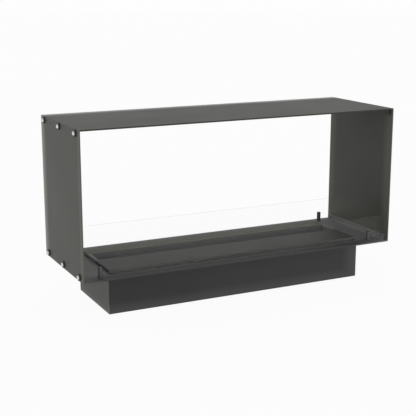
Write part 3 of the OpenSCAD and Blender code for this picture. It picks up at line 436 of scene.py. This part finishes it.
clear_glass, pane = new_finish("clear_glass")
haze = pane.noise(pane.place(), 14.0, 3.0)
pane.skin(pane.blend(haze, glass_clear, shaded(glass_clear, 0.99)), haze * 0.02,
          Transmission_Weight=1.0, IOR=1.0, Coat_Weight=1.0, Coat_IOR=1.75, Coat_Roughness=0.0,
          Alpha=glass_presence)
glass_edge, rim = new_finish("glass_edge")
frost = rim.noise(rim.place(), 500.0, 2.0)
rim.skin(rim.blend(frost, shaded(edge_green, 0.85), edge_green), 0.22 + frost * 0.12,
         Alpha=edge_presence)
for body in ("front_screen", "rear_screen"):
    node = body.replace("screen", "glass")
    shape = pane_shape(*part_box(node), glass_corner, glass_seam)
    piece = make_piece(node + "_pane", [shape], clear_glass, body, [node])
    piece.data.materials.append(glass_edge)
    facing = np.zeros(len(piece.data.polygons) * 3)
    piece.data.polygons.foreach_get("normal", facing)
    on_edge = np.abs(facing[1::3]) < face_from
    piece.data.polygons.foreach_set("material_index", on_edge.astype(int))

pin_black, plating = new_finish("pin_black")
bands = plating.noise(plating.stretch(plating.place(), (1, 1, 60)), 40.0, 2.0)
plating.skin(plating.blend(bands, pin_dark, pin_light), 0.42 + bands * 0.12, Metallic=0.2,
             Normal=plating.bump(bands, 0.01 * mm))
dress("front_glass_pins", pin_black)
dress("rear_glass_pins", pin_black)


# Plated nuts, posts and screws: turned or pressed steel with a bright zinc
# coat. The nuts hold the glass pins under the floor panel.
def plated(name, dark, light, scale, roughness, depth=0.01 * mm, stretch=(1, 1, 1)):
    """Metal whose tone and gloss wander between two colours."""
    material, metal = new_finish(name)
    cloud = metal.noise(metal.stretch(metal.place(), stretch), scale, 3.0)
    metal.skin(metal.blend(cloud, dark, light), roughness + (cloud - 0.5) * 0.2, Metallic=1.0,
               Normal=metal.bump(cloud, depth))
    return material


zinc_nut = plated("zinc_nut", (0.50, 0.50, 0.48), (0.68, 0.68, 0.65), 500.0, 0.35)
for name in ("pin_nuts", "board_standoffs", "inlet_screws"):
    dress(name, zinc_nut)


# Case of the vapour unit: folded galvanised sheet with a spangled zinc coat,
# on six rubber pads.
def moulded(name, dark, light, roughness, scale=700.0, depth=0.03 * mm, **others):
    """Plastic or rubber from a mould: a fine grain over slow sweeps of tone."""
    material, plastic = new_finish(name)
    grain = plastic.noise(plastic.place(), scale, 2.0)
    sweep = plastic.noise(plastic.place(), 12.0, 2.0)
    tone = grain * 0.4 + sweep * 0.6
    plastic.skin(plastic.blend(tone, dark, light), roughness + (sweep - 0.5) * 0.12,
                 Normal=plastic.bump(grain, depth), **others)
    return material


galvanised, zinc = new_finish("galvanised_sheet")
cell = {"Vector": zinc.place(), "Scale": 90.0}
flake = zinc.axes(zinc.add("ShaderNodeTexVoronoi", {"feature": "F1"}, cell, output="Color"))[0]
brushed = zinc.noise(zinc.stretch(zinc.place(), (1, 12, 1)), 120.0, 2.0)
tone = flake * 0.7 + brushed * 0.3
zinc.skin(zinc.blend(tone, (0.38, 0.39, 0.40), (0.60, 0.61, 0.62)),
          0.30 + flake * 0.22 + brushed * 0.05, Metallic=1.0, Normal=zinc.bump(brushed, 0.01 * mm))
dress("unit_case", galvanised)
dress("unit_pads", moulded("pad_rubber", (0.012, 0.012, 0.012), (0.028, 0.028, 0.028), 0.75))


# Covers and flame trough: sheet lids and a folded tray with the frame's fine
# coat. The front cover has a greyer tint of its own; the rear cover's and the
# trough's lighter tints are lit copies of the coat, painted light. Paler strips
# over the folds and ends of the lips, down the trough's upper wall and towards
# the rear cover's rear edge are painted light too.
front_tint = (0.0240, 0.0245, 0.0200)
rear_painted_lit_tint = shaded(coat_olive, 2.9)
trough_painted_lit_tint = shaded(coat_shade_grey, 7.2)
fold_width = 3.5 * mm
# Painted light along the lips' folds and ends, the trough's upper wall and the rear cover's rear edge.
front_cover_painted_light = [("-x", 1.0), ("+x", 1.0), ("-y", 0.7)]
rear_cover_painted_light = [("-x", 1.0), ("+x", 1.0), ("+y", 0.5, 70 * mm)]
trough_painted_light = [("-x", 1.0), ("+x", 1.0), ("+z", 0.4, 16 * mm)]
powder_coat("front_cover", front_tint, front_cover_painted_light, matt=0.60, width=fold_width, gloss=0, painted_gain=4.5)
powder_coat("rear_cover", rear_painted_lit_tint, rear_cover_painted_light, matt=0.60, width=fold_width, gloss=0)
powder_coat("flame_trough", trough_painted_lit_tint, trough_painted_light, matt=0.62, width=fold_width, gloss=0, painted_gain=1.5)


# LED bars: drawn aluminium with a clear anodised finish. Each holds a white
# flexible tape with an LED every 17 mm under a frosted lens.
def slab(low, high, bevel=0.3 * mm):
    """Block with its edges cut: a rectangle with cut corners, drawn in by the bevel at foot and top."""
    low, high = np.array(low), np.array(high)
    signs = np.array([(1, -1), (1, 1), (1, 1), (-1, 1), (-1, 1), (-1, -1), (-1, -1), (1, -1)])
    cuts = np.array([(0, 1), (0, 1), (1, 0), (1, 0), (0, 1), (0, 1), (1, 0), (1, 0)]) * bevel
    inset = np.array([bevel, 0, 0, bevel])[:, None, None]
    level = np.array([low[2], low[2] + bevel, high[2] - bevel, high[2]])
    flat = (low + high)[:2] / 2 + signs * ((high - low)[:2] / 2 - inset - cuts)
    rings = np.concatenate([flat, np.repeat(level[:, None, None], len(signs), 1)], 2)
    return solid(rings)


def placed(shape, tilt, shift):
    """A shape turned about X by tilt and moved by shift."""
    points, faces = shape
    turned_y = points[:, 1] * math.cos(tilt) - points[:, 2] * math.sin(tilt)
    turned_z = points[:, 1] * math.sin(tilt) + points[:, 2] * math.cos(tilt)
    return np.stack([points[:, 0], turned_y, turned_z], 1) + shift, faces


bar_low, bar_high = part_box("front_led_bar")
tape_low, tape_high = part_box("led_strips")
trough_middle = (tape_low[1] + tape_high[1]) / 2
lens_fall, lens_run = 10, 12
lens_tilt = -math.atan2(lens_fall, lens_run)
lens_at = np.array([0, bar_low[1] + 12 * mm, bar_low[2] + 9 * mm])
tape_half = (bar_high[0] - bar_low[0]) / 2
tape_wide = 7.6 * mm
tape_foot, tape_top = -3.0 * mm, -2.75 * mm
tape_bevel = 0.05 * mm
led_size = np.array([3.5, 2.8, 0.5]) * mm
led_bevel = 0.08 * mm
led_pitch = 16.67 * mm
led_count = int(2 * tape_half / led_pitch)
led_x = (np.arange(led_count) - (led_count - 1) / 2) * led_pitch


def on_both_bars(shape):
    """A shape drawn on the lens's own plane, on the front bar and mirrored on the rear one."""
    points, faces = placed(shape, lens_tilt, lens_at)
    return [(points, faces), (points * (1, -1, 1) + (0, 2 * trough_middle, 0), faces)]


def on_tape(middles, size):
    """Equal small blocks along X that stand on the tape."""
    shapes = []
    for middle in middles:
        low = (middle - size[0] / 2, -size[1] / 2, tape_top)
        high = (middle + size[0] / 2, size[1] / 2, tape_top + size[2])
        shapes += on_both_bars(slab(low, high, led_bevel))
    return shapes


tape = slab((-tape_half, -tape_wide / 2, tape_foot), (tape_half, tape_wide / 2, tape_top), tape_bevel)
tape_white, film = new_finish("led_tape")
along = film.axes(film.place())[0] / led_pitch
pad = (along.math("FRACT") - 0.5).math("ABSOLUTE").rise(0.44, 0.47)
film.skin(film.blend(pad, (0.74, 0.74, 0.70), (0.52, 0.33, 0.13)), 0.38 + pad * 0.1,
          Normal=film.bump(pad, 0.03 * mm))
make_piece("led_tape", on_both_bars(tape), tape_white, "hearth", ["led_strips"])
phosphor = moulded("led_phosphor", (0.80, 0.52, 0.06), (0.90, 0.66, 0.14), 0.35, 1500.0, 0.02 * mm)
make_piece("led_chips", on_tape(led_x, led_size), phosphor, "hearth", ["led_strips"])
resistor_x = led_x[:-1] + led_pitch * 0.3
resistor_size = led_size * (0.5, 0.5, 0.9)
resistor_black = moulded("chip_resistor", (0.012, 0.012, 0.013), (0.03, 0.03, 0.032), 0.3, 900.0)
make_piece("led_resistors", on_tape(resistor_x, resistor_size), resistor_black, "hearth",
           ["led_strips"])

anodised = plated("anodised_bar", (0.56, 0.57, 0.58), (0.70, 0.71, 0.72), 300.0, 0.38, 0.008 * mm,
                  (0.02, 1, 1))
dress("front_led_bar", anodised)
dress("rear_led_bar", anodised)
lens_frost = moulded("frosted_lens", (0.86, 0.86, 0.84), (0.93, 0.93, 0.91), 0.42, 500.0, 0.02 * mm,
                     Transmission_Weight=0.75, IOR=1.49)
dress("led_lenses", lens_frost)


# Mist basin and gasket: a black moulded trough, and a rubber frame round its
# rim that seals it against the flame trough.
dress("mist_basin", moulded("basin_plastic", (0.020, 0.021, 0.022), (0.036, 0.037, 0.039), 0.45))
dress("basin_gasket", moulded("gasket_rubber", (0.014, 0.014, 0.014), (0.030, 0.030, 0.030), 0.7))


# Mist makers: turned stainless housings whose tool marks run round them, each
# with a ceramic disc under a clamp ring.
def turned_marks(name, dark, light, count, pitch, middle_y):
    """Metal with fine rings round upright axes: count of them, pitch apart along X, centred on X = 0."""
    material, metal = new_finish(name)
    x, y, z = metal.axes(metal.place())
    shift = 0.5 if count % 2 == 0 else 0.0
    across = ((x / pitch + 0.5 + shift).math("FRACT") - 0.5) * pitch
    away = (across * across + (y - middle_y) * (y - middle_y)).math("SQRT")
    ring = metal.add("ShaderNodeCombineXYZ", inputs={0: away, 2: z})
    marks = metal.noise(metal.stretch(ring, (1, 1, 0.3)), 1600.0, 2.0)
    stain = metal.noise(metal.place(), 60.0, 3.0)
    metal.skin(metal.blend(marks * 0.5 + stain * 0.5, dark, light), 0.24 + stain * 0.16,
               Metallic=1.0, Normal=metal.bump(marks, 0.012 * mm))
    return material


maker_low, maker_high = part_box("mist_makers")
maker_wide = maker_high[1] - maker_low[1]
maker_count = 6
maker_pitch = (maker_high[0] - maker_low[0] - maker_wide) / (maker_count - 1)
maker_y = (maker_low[1] + maker_high[1]) / 2
maker_row = (maker_count, maker_pitch, maker_y)
dress("mist_makers", turned_marks("maker_steel", (0.38, 0.39, 0.40), (0.60, 0.61, 0.62), *maker_row))
dress("disc_rings", turned_marks("ring_steel", (0.54, 0.55, 0.56), (0.74, 0.75, 0.76), *maker_row))
dress("ceramic_discs", moulded("disc_ceramic", (0.72, 0.69, 0.60), (0.84, 0.81, 0.73), 0.25))


# Level float: a foam ring that slides on a stainless stem between two clips.
# The pins of the mains inlet have the same bright finish.
stem_steel = plated("stem_steel", (0.56, 0.57, 0.58), (0.72, 0.73, 0.74), 600.0, 0.28, stretch=(1, 1, 8))
for name in ("float_stem", "float_clips", "inlet_pins"):
    dress(name, stem_steel)
float_foam = moulded("float_foam", (0.70, 0.68, 0.61), (0.84, 0.82, 0.76), 0.8, 1200.0, 0.08 * mm)
dress("level_float", float_foam)


# Fans: frames and rotors of black glass-filled plastic, on the basin's rear
# wall. Each is fed by a twisted pair, which is made with the wiring.
fan_plastic = moulded("fan_plastic", (0.016, 0.017, 0.018), (0.032, 0.033, 0.035), 0.5)
for name in ("fan_frames", "left_fan_rotor", "middle_fan_rotor", "right_fan_rotor"):
    dress(name, fan_plastic)


# Water tank: translucent moulded plastic with a welded lid and neck, and a
# blue quarter-turn cap on a rubber seal.
tank_milk, resin = new_finish("tank_plastic")
flow = resin.noise(resin.stretch(resin.place(), (1, 4, 4)), 9.0, 3.0)
orange = resin.noise(resin.place(), 260.0, 2.0)
resin.skin(resin.blend(flow, (0.60, 0.68, 0.73), (0.76, 0.82, 0.85)), 0.34 + flow * 0.12,
           Transmission_Weight=0.35, IOR=1.5, Normal=resin.bump(orange, 0.04 * mm))
for name in ("water_tank", "tank_lid", "tank_neck"):
    dress(name, tank_milk)
dress("tank_cap", moulded("cap_plastic", (0.020, 0.085, 0.20), (0.035, 0.12, 0.27), 0.4))
dress("cap_seal", moulded("seal_rubber", (0.016, 0.016, 0.016), (0.034, 0.033, 0.032), 0.65))


# Water pipes and valve: clear-grey hose from the tank to a cast brass valve
# and on to the basin. A black coil sits on the valve's body.
tube_dark, tube_light = (0.66, 0.68, 0.69), (0.80, 0.82, 0.83)
for name in ("outlet_pipe", "feed_pipe"):
    dress(name, moulded("tube_" + name, tube_dark, tube_light, 0.3, Transmission_Weight=0.5))

coil_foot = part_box("feed_valve")[0][2] + 32 * mm
coil_edge = 0.1 * mm
valve_body, brass = new_finish("valve_brass")
coil = brass.axes(brass.place())[2].rise(coil_foot - coil_edge, coil_foot + coil_edge)
cast = brass.noise(brass.place(), 240.0, 4.0)
metal_tone = brass.blend(cast, (0.42, 0.29, 0.10), (0.62, 0.45, 0.18))
coil_tone = brass.blend(cast, (0.014, 0.014, 0.015), (0.030, 0.030, 0.032))
brass.skin(brass.blend(coil, metal_tone, coil_tone), 0.28 + cast * 0.1 + coil * 0.2,
           Metallic=1 - coil, Normal=brass.bump(cast, 0.04 * mm))
dress("feed_valve", valve_body)


# Power supply: a galvanised box whose terminal block has a barrier between
# its ways and a plated screw in each.
def turned(profile, foot, sides=24):
    """Solid turned on a lathe: (radius, height) pairs carried round an upright axis through foot."""
    radius, height = np.array(profile).T[:, :, None]
    angle = np.arange(sides) * 2 * np.pi / sides
    rings = np.stack([radius * np.cos(angle), radius * np.sin(angle), height + 0 * angle], -1)
    return solid(rings + np.array(foot))


def screw_head(radius, rise, foot):
    """Pan head: its edge is a quarter of an ellipse, drawn from the rim to a small flat top."""
    rim_share, flat_share = 0.45, 0.06
    bend = np.linspace(0, math.pi / 2 * (1 - flat_share), 6)
    edge = np.stack([radius * np.cos(bend), rise * (rim_share + (1 - rim_share) * np.sin(bend))], 1)
    return turned(np.concatenate([[(radius, 0)], edge]), foot)


def screw_slot(radius, wide, deep, top):
    """Dark bar that paints the shade in a screw's slot, a hair above its top."""
    proud, bevel = 0.03 * mm, 0.05 * mm
    return slab((top[0] - radius, top[1] - wide / 2, top[2] - deep),
                (top[0] + radius, top[1] + wide / 2, top[2] + proud), bevel)


dress("power_supply", galvanised)
block_low, block_high = (np.array(corner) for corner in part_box("supply_terminals"))
supply_ways = 7
way_wide = (block_high[1] - block_low[1]) / supply_ways
shelf = block_high[2] - 4 * mm
barrier = 1.2 * mm
plate_half = np.array([4.5, 3.8, 0]) * mm
plate_top = shelf + 0.6 * mm
head_radius, head_rise = 2.9 * mm, 1.8 * mm
way_edges = block_low[1] + np.arange(supply_ways + 1) * way_wide
way_edges[[0, -1]] += np.array([barrier, -barrier]) / 2
way_middles = block_low[1] + (np.arange(supply_ways) + 0.5) * way_wide

block_black = moulded("terminal_plastic", (0.022, 0.022, 0.024), (0.045, 0.045, 0.05), 0.5)
block = [slab(block_low, (block_high[0], block_high[1], shelf))]
for y in way_edges:
    block.append(slab((block_low[0], y - barrier / 2, shelf - mm),
                      (block_high[0], y + barrier / 2, block_high[2])))
make_piece("supply_terminal_block", block, block_black, "hearth",
           ["supply_terminals"])

# Painted shade for the screws' slots and the terminals' wire mouths.
slot_painted_shade = moulded("slot_shadow", (0.010, 0.010, 0.010), (0.02, 0.02, 0.02), 0.8)
block_x = (block_low[0] + block_high[0]) / 2
plates, heads, slots = [], [], []
for y in way_middles:
    plates.append(slab((block_x, y, shelf) - plate_half, (block_x, y, plate_top) + plate_half))
    heads.append(screw_head(head_radius, head_rise, (block_x, y, plate_top)))
    slots.append(screw_slot(2.2 * mm, 0.7 * mm, 0.5 * mm, (block_x, y, plate_top + head_rise)))
make_piece("supply_screws", plates + heads, zinc_nut, "hearth", ["supply_terminals"])
make_piece("supply_screw_slots", slots, slot_painted_shade, "hearth")


# Control board: green fibreglass with etched tracks, on four posts. Relays,
# capacitors, a terminal block, a finned heat sink and chips are soldered on.
# Their places and sizes are in millimetres from the board's middle.
board_low, board_high = (np.array(corner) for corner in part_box("control_board"))
board_middle = (board_low + board_high) / 2
board_top = board_high[2]
row_left = -46


def on_board(x, y, z=0.0):
    """Place on the board, in millimetres from its middle and its upper face."""
    return np.array([board_middle[0] + x * mm, board_middle[1] + y * mm, board_top + z * mm])


board_green, mask = new_finish("board_green")
cells = {"Vector": mask.place(), "Scale": 190.0, "Randomness": 0.35}
edges = mask.add("ShaderNodeTexVoronoi", {"feature": "DISTANCE_TO_EDGE"}, cells, output="Distance")
track = 1 - edges.rise(0.05, 0.10)
holes = {"Vector": mask.place(), "Scale": 330.0}
dots = mask.add("ShaderNodeTexVoronoi", {"feature": "F1"}, holes, output="Distance")
solder = 1 - dots.rise(0.10, 0.14)
lacquer = mask.blend(track, (0.010, 0.075, 0.034), (0.030, 0.155, 0.075))
mask.skin(mask.blend(solder, lacquer, (0.55, 0.55, 0.52)), 0.30 - solder * 0.05, Metallic=solder,
          Normal=mask.bump(track + solder, 0.03 * mm))
dress("control_board", board_green)

relay_count, relay_pitch = 3, 22
relay_foot = np.array([16, 20, 2.2])
relay_cap = np.array([15.7, 19.7, 15])
relay_step = np.array([0.3, 0.3, 2.2])
relay_blue = moulded("relay_blue", (0.020, 0.075, 0.22), (0.032, 0.11, 0.30), 0.36)
relays = []
for i in range(relay_count):
    near = on_board(row_left + relay_pitch * i, 11)
    relays.append(slab(near, near + relay_foot * mm, 0.2 * mm))
    relays.append(slab(near + relay_step * mm, near + relay_cap * mm, 0.8 * mm))
make_piece("board_relays", relays, relay_blue, "hearth", ["board_parts"])

drum_count, drum_pitch = 4, 14
drum_places = [on_board(row_left + 5 + drum_pitch * i, 0) for i in range(drum_count)]
sleeve_line = np.array([(4.6, 0), (5.0, 0.5), (5.0, 1.6), (4.7, 2.1), (5.0, 2.6), (5.0, 13.2),
                        (4.7, 13.9), (4.2, 14.0)])
lid_line = np.array([(3.9, 13.6), (3.9, 14.05), (3.5, 14.1)])
sleeve_black, sleeve = new_finish("capacitor_sleeve")
wrinkle = sleeve.noise(sleeve.stretch(sleeve.place(), (1, 1, 0.2)), 500.0, 2.0)
sleeve.skin(sleeve.blend(wrinkle, (0.012, 0.014, 0.030), (0.030, 0.034, 0.060)), 0.24 + wrinkle * 0.12)
sleeves = [turned(sleeve_line * mm, foot) for foot in drum_places]
make_piece("capacitor_sleeves", sleeves, sleeve_black, "hearth", ["board_parts"])
tops = [turned(lid_line * mm, foot) for foot in drum_places]
make_piece("capacitor_tops", tops, anodised, "hearth", ["board_parts"])

board_ways = 9
way_pitch, way_tall, way_gap = 7.5, 11.0, 0.15
way_line = np.array([(0, 0), (9, 0), (9, 8.5), (7.4, 11), (2.2, 11), (2.2, 7.4), (0, 6.8)])
mouth_at, mouth_size = np.array([1.6, -0.03, 1.2]), np.array([4.3, 0.3, 3.8])
terminal_green = moulded("terminal_green", (0.030, 0.16, 0.055), (0.05, 0.23, 0.085), 0.42)


def carried(outline, start, stop):
    """Extrusion along X: an outline of (y, z) points, from one end to the other."""
    outline = np.array(outline)
    rings = [np.column_stack([np.full(len(outline), x), outline]) for x in (start, stop)]
    return solid(np.array(rings))


ways, heads, slots = [], [], []
for i in range(board_ways):
    foot = on_board(row_left + way_pitch * i, -43)
    ways.append(carried(way_line * mm + foot[1:], foot[0] + way_gap * mm,
                        foot[0] + (way_pitch - way_gap) * mm))
    screw = foot + np.array([way_pitch / 2, 4.8, way_tall]) * mm
    heads.append(screw_head(2.0 * mm, 0.5 * mm, screw))
    slots.append(screw_slot(1.5 * mm, 0.6 * mm, 0.3 * mm, screw + (0, 0, 0.5 * mm)))
    # A dark box at each wire mouth is painted shade in the hole.
    mouth = foot + mouth_at * mm
    slots.append(slab(mouth, mouth + mouth_size * mm, 0.1 * mm))
make_piece("board_terminals", ways, terminal_green, "hearth", ["board_parts"])
make_piece("board_screws", heads, zinc_nut, "hearth", ["board_parts"])
make_piece("board_slots", slots, slot_painted_shade, "hearth", ["board_parts"])

fin_count, fin_pitch = 6, 4.4
fin_size, sink_size = np.array([2, 26, 14.5]), np.array([24, 26, 4])
sink_foot = on_board(29, -13)
fins = [slab(sink_foot, sink_foot + sink_size * mm, 0.3 * mm)]
for i in range(fin_count):
    fin = sink_foot + np.array([fin_pitch * i, 0, 3.5]) * mm
    fins.append(slab(fin, fin + fin_size * mm, 0.5 * mm))
make_piece("heat_sink", fins, anodised, "hearth", ["board_parts"])

# Each chip's corner, width, depth and height. The first has eight legs on either side.
chip_boxes = ((-8, -24, 11, 11, 1.6), (-34, -22, 5, 4, 1.5), (-22, -22, 5, 4, 1.5), (12, -24, 5, 6, 1.5),
              (30, 20, 6, 7, 2.3), (24, -34, 8, 6, 3.2), (-54, -12, 3, 8, 2.0))
leg_steps = np.arange(8) * 1.25
leg_sides = ((-9.4, -7.6), (2.6, 4.4))
leg_front, leg_rear, leg_tall = -23.3, -22.7, 0.5
lone_places = ((-50, 34), (-44, -28), (8, -10), (18, -14), (22, -6), (44, 24), (50, -24), (38, -30),
               (16, 0))
lone_wide, lone_deep, lone_tall = 2.2, 1.3, 0.6
chips, legs = [], []
for x, y, wide, deep, tall in chip_boxes:
    chips.append(slab(on_board(x, y), on_board(x + wide, y + deep, tall), 0.25 * mm))
for step in leg_steps:
    for left, right in leg_sides:
        legs.append(slab(on_board(left, leg_front + step), on_board(right, leg_rear + step, leg_tall),
                         0.05 * mm))
for x, y in lone_places:
    legs.append(slab(on_board(x, y), on_board(x + lone_wide, y + lone_deep, lone_tall), 0.1 * mm))
make_piece("board_chips", chips, resistor_black, "hearth", ["board_parts"])
make_piece("chip_legs", legs, zinc_nut, "hearth", ["board_parts"])


# Mains inlet and rocker switch: black moulded bodies in the case's rear wall.
# The rocker bears the two plain marks of every mains switch, a bar and a ring.
inlet_plastic = moulded("inlet_plastic", (0.010, 0.010, 0.011), (0.022, 0.022, 0.024), 0.45)
dress("mains_inlet", inlet_plastic)
dress("switch_housing", inlet_plastic)
rocker_gloss = moulded("rocker_plastic", (0.014, 0.014, 0.016), (0.024, 0.024, 0.027), 0.2, 500.0,
                       0.01 * mm)
dress("switch_rocker", rocker_gloss)


def flat_ring(outer, inner, rise, sides=28):
    """Flat ring in the XZ plane: a square profile carried round Y and closed on itself."""
    angle = np.arange(sides + 1) * 2 * np.pi / sides
    profile = np.array([(inner, 0), (outer, 0), (outer, rise), (inner, rise)])
    radius, height = profile.T[:, None, :]
    spin = angle[:, None]
    rings = np.stack([radius * np.sin(spin), height + 0 * spin, radius * np.cos(spin)], -1)
    points, (quads, _) = solid(rings)
    last = sides * len(profile)
    return points[:last], (np.where(quads >= last, quads - last, quads),)


rocker_slope = math.radians(8)
pivot_deep = 3.5 * mm
flat_rise = 4.6 * mm
mark_out = 4.7 * mm
mark_half = 2.1 * mm
mark_thick = 0.06 * mm
bar_half = 0.35 * mm
ring_wide = 0.6 * mm
switch_low, switch_high = (np.array(corner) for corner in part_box("switch_housing"))
pivot = (switch_low + switch_high) / 2
pivot[1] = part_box("unit_case")[1][1] - pivot_deep


def on_rocker(shape, tilt, out):
    """A shape on a flat of the rocker, out along it from the ridge and sunk by a third of a mark."""
    tall = flat_rise + abs(out) * math.tan(rocker_slope)
    seat_y = tall * math.cos(rocker_slope) - out * math.sin(rocker_slope)
    seat_z = tall * math.sin(rocker_slope) + out * math.cos(rocker_slope)
    return placed(shape, tilt, pivot + (0, seat_y - mark_thick / 3, seat_z))


mark_white = moulded("mark_white", (0.70, 0.70, 0.69), (0.80, 0.80, 0.79), 0.4, 900.0, 0.01 * mm)
bar = slab((-bar_half, 0, -mark_half), (bar_half, mark_thick, mark_half), mark_thick / 3)
ring = flat_ring(mark_half, mark_half - ring_wide, mark_thick)
marks = [on_rocker(ring, 0, mark_out), on_rocker(bar, 2 * rocker_slope, -mark_out)]
make_piece("rocker_marks", marks, mark_white, "rocker")


# Wiring: the mains lead inside the unit is three twisted conductors, and the
# board's loom is six thin ones under nylon ties, with a twisted pair to each fan.
def rounded_path(points, bend, step):
    """Points along straight runs, and along the quarter circles of radius bend that join them."""
    points = np.array(points) * mm
    runs = np.diff(points, axis=0)
    lengths = np.linalg.norm(runs, axis=1)
    headings = runs / lengths[:, None]
    parts = []
    for i, (point, ahead, length) in enumerate(zip(points, headings, lengths)):
        last = i == len(headings) - 1
        start, stop = bend if i else 0, length if last else length - bend
        along = np.linspace(start, stop, max(2, int((stop - start) / step)), endpoint=False)
        parts.append(point + ahead * along[:, None])
        if not last:
            turn = np.linspace(0, np.pi / 2, 6, endpoint=False)[:, None]
            after = headings[i + 1]
            centre = points[i + 1] + (after - ahead) * bend
            parts.append(centre - after * bend * np.cos(turn) + ahead * bend * np.sin(turn))
    return np.concatenate(parts + [points[-1:]])


def cross_axes(path):
    """Two unit vectors square to a path at each point, carried along it with the least twist."""
    askew = (0.31, 0.52, 0.79)
    ahead = np.gradient(path, axis=0)
    ahead /= np.linalg.norm(ahead, axis=1)[:, None]
    side = np.cross(ahead[0], askew)
    sides = []
    for direction in ahead:
        side = side - direction * (side @ direction)
        side = side / np.linalg.norm(side)
        sides.append(side)
    return np.array(sides), np.cross(ahead, sides)


def tube(path, radius, sides=8):
    """Round bar: a circle of sides points carried along a path."""
    across, upward = cross_axes(path)
    angle = (np.arange(sides) * 2 * np.pi / sides)[:, None]
    spokes = np.cos(angle) * across[:, None] + np.sin(angle) * upward[:, None]
    return solid(path[:, None] + radius * spokes)


def strand(path, offset, pitch, phase):
    """Path of one conductor: it winds round the bundle's path at offset from it, one turn a pitch."""
    across, upward = cross_axes(path)
    travelled = np.concatenate([[0], np.cumsum(np.linalg.norm(np.diff(path, axis=0), axis=1))])
    angle = (phase + travelled / pitch)[:, None] * 2 * np.pi
    return path + offset * (np.cos(angle) * across + np.sin(angle) * upward)


def make_bundle(bundle, names, path, offset, pitch, radius, sides, node):
    """Conductors that wind round a path, evenly spaced in their turn, one piece for each."""
    for i, name in enumerate(names):
        lead = tube(strand(path, offset, pitch, i / len(names)), radius, sides)
        make_piece(bundle + name, [lead], skins[name], "hearth", [node])


wire_colours = {
    "brown": (0.075, 0.030, 0.014), "blue": (0.020, 0.075, 0.26), "earth": (0.10, 0.30, 0.03),
    "red": (0.33, 0.018, 0.014), "black": (0.016, 0.016, 0.017), "yellow": (0.52, 0.36, 0.03),
    "white": (0.60, 0.60, 0.58), "orange": (0.50, 0.15, 0.02), "violet": (0.12, 0.05, 0.22),
}
skins = {}
for name, colour in wire_colours.items():
    skins[name] = moulded("wire_" + name, shaded(colour, 0.8), colour, 0.36, 300.0, 0.02 * mm)
# The earth conductor is green with slanting yellow stripes.
earth = Finish(skins["earth"].node_tree)
stripe = earth.axes(earth.stretch(earth.place(), (1, 1, 1), (0.6, 0.4, 0.9)))[0]
band = (stripe * 180.0).math("SINE").rise(-0.2, 0.2)
earth.skin(earth.blend(band, (0.04, 0.20, 0.03), (0.56, 0.48, 0.02)), 0.34 + band * 0.06)

# Corners of the two routes, in millimetres in the hearth's frame, as the solids lie.
mains_route = [(400.5, 121.5, 35), (400.5, 105.5, 35), (400.5, 105.5, 12), (468, 105.5, 12),
               (468, -75, 12), (448, -75, 12)]
loom_route = [(217, -40, 11.5), (217, -11, 11.5), (454, -11, 11.5), (454, 92, 11.5), (-300, 92, 11.5)]
lead_bend = 8 * mm
mains_radius, mains_offset, mains_turn = 1.5 * mm, 1.75 * mm, 34 * mm
loom_radius, loom_offset, loom_turn = 0.95 * mm, 1.95 * mm, 60 * mm

mains_path = rounded_path(mains_route, lead_bend, 2.5 * mm)
make_bundle("mains_", ("brown", "blue", "earth"), mains_path, mains_offset, mains_turn, mains_radius, 8,
            "mains_wiring")
loom_path = rounded_path(loom_route, lead_bend, 3.5 * mm)
make_bundle("loom_", ("red", "black", "yellow", "white", "orange"), loom_path, loom_offset, loom_turn,
            loom_radius, 6, "board_wiring")
loom_core = [tube(loom_path, loom_radius, 6)]
make_piece("loom_violet", loom_core, skins["violet"], "hearth", ["board_wiring"])

tie_nylon = moulded("tie_nylon", (0.014, 0.014, 0.015), (0.028, 0.028, 0.03), 0.35)
ties = []
for path, radius, first, every in ((loom_path, 3.15 * mm, 14, 27), (mains_path, 3.6 * mm, 12, 24)):
    for start in range(first, len(path) - 2, every):
        ties.append(tube(path[start:start + 2], radius, 14))
make_piece("wire_ties", ties, tie_nylon, "hearth")

# Fan leads: each pair runs on a quadratic curve from the loom, out behind the fan, to the hub's rear.
pair_radius, pair_offset, pair_turn = 0.7 * mm, 0.75 * mm, 14 * mm
loom_y, loom_top = 91 * mm, 14.5 * mm
frame_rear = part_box("fan_frames")[1][1]
bow = np.linspace(0, 1, 24)[:, None]
pairs = {"red": [], "black": []}
for fan in ("left", "middle", "right"):
    spin_low, spin_high = (np.array(corner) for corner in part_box(fan + "_fan_rotor"))
    hub = (spin_low + spin_high) / 2
    foot = np.array([hub[0] + 20 * mm, loom_y, loom_top])
    pull = np.array([hub[0] + 24 * mm, frame_rear + 22 * mm, hub[2] - 20 * mm])
    end = np.array([hub[0] + 7 * mm, frame_rear + 0.9 * mm, hub[2] - 3 * mm])
    path = foot * (1 - bow) ** 2 + pull * 2 * bow * (1 - bow) + end * bow ** 2
    for i, colour in enumerate(pairs):
        lead = tube(strand(path, pair_offset, pair_turn, i / 2), pair_radius, 6)
        pairs[colour].append(lead)
for colour, leads in pairs.items():
    make_piece("fan_leads_" + colour, leads, skins[colour], "hearth")
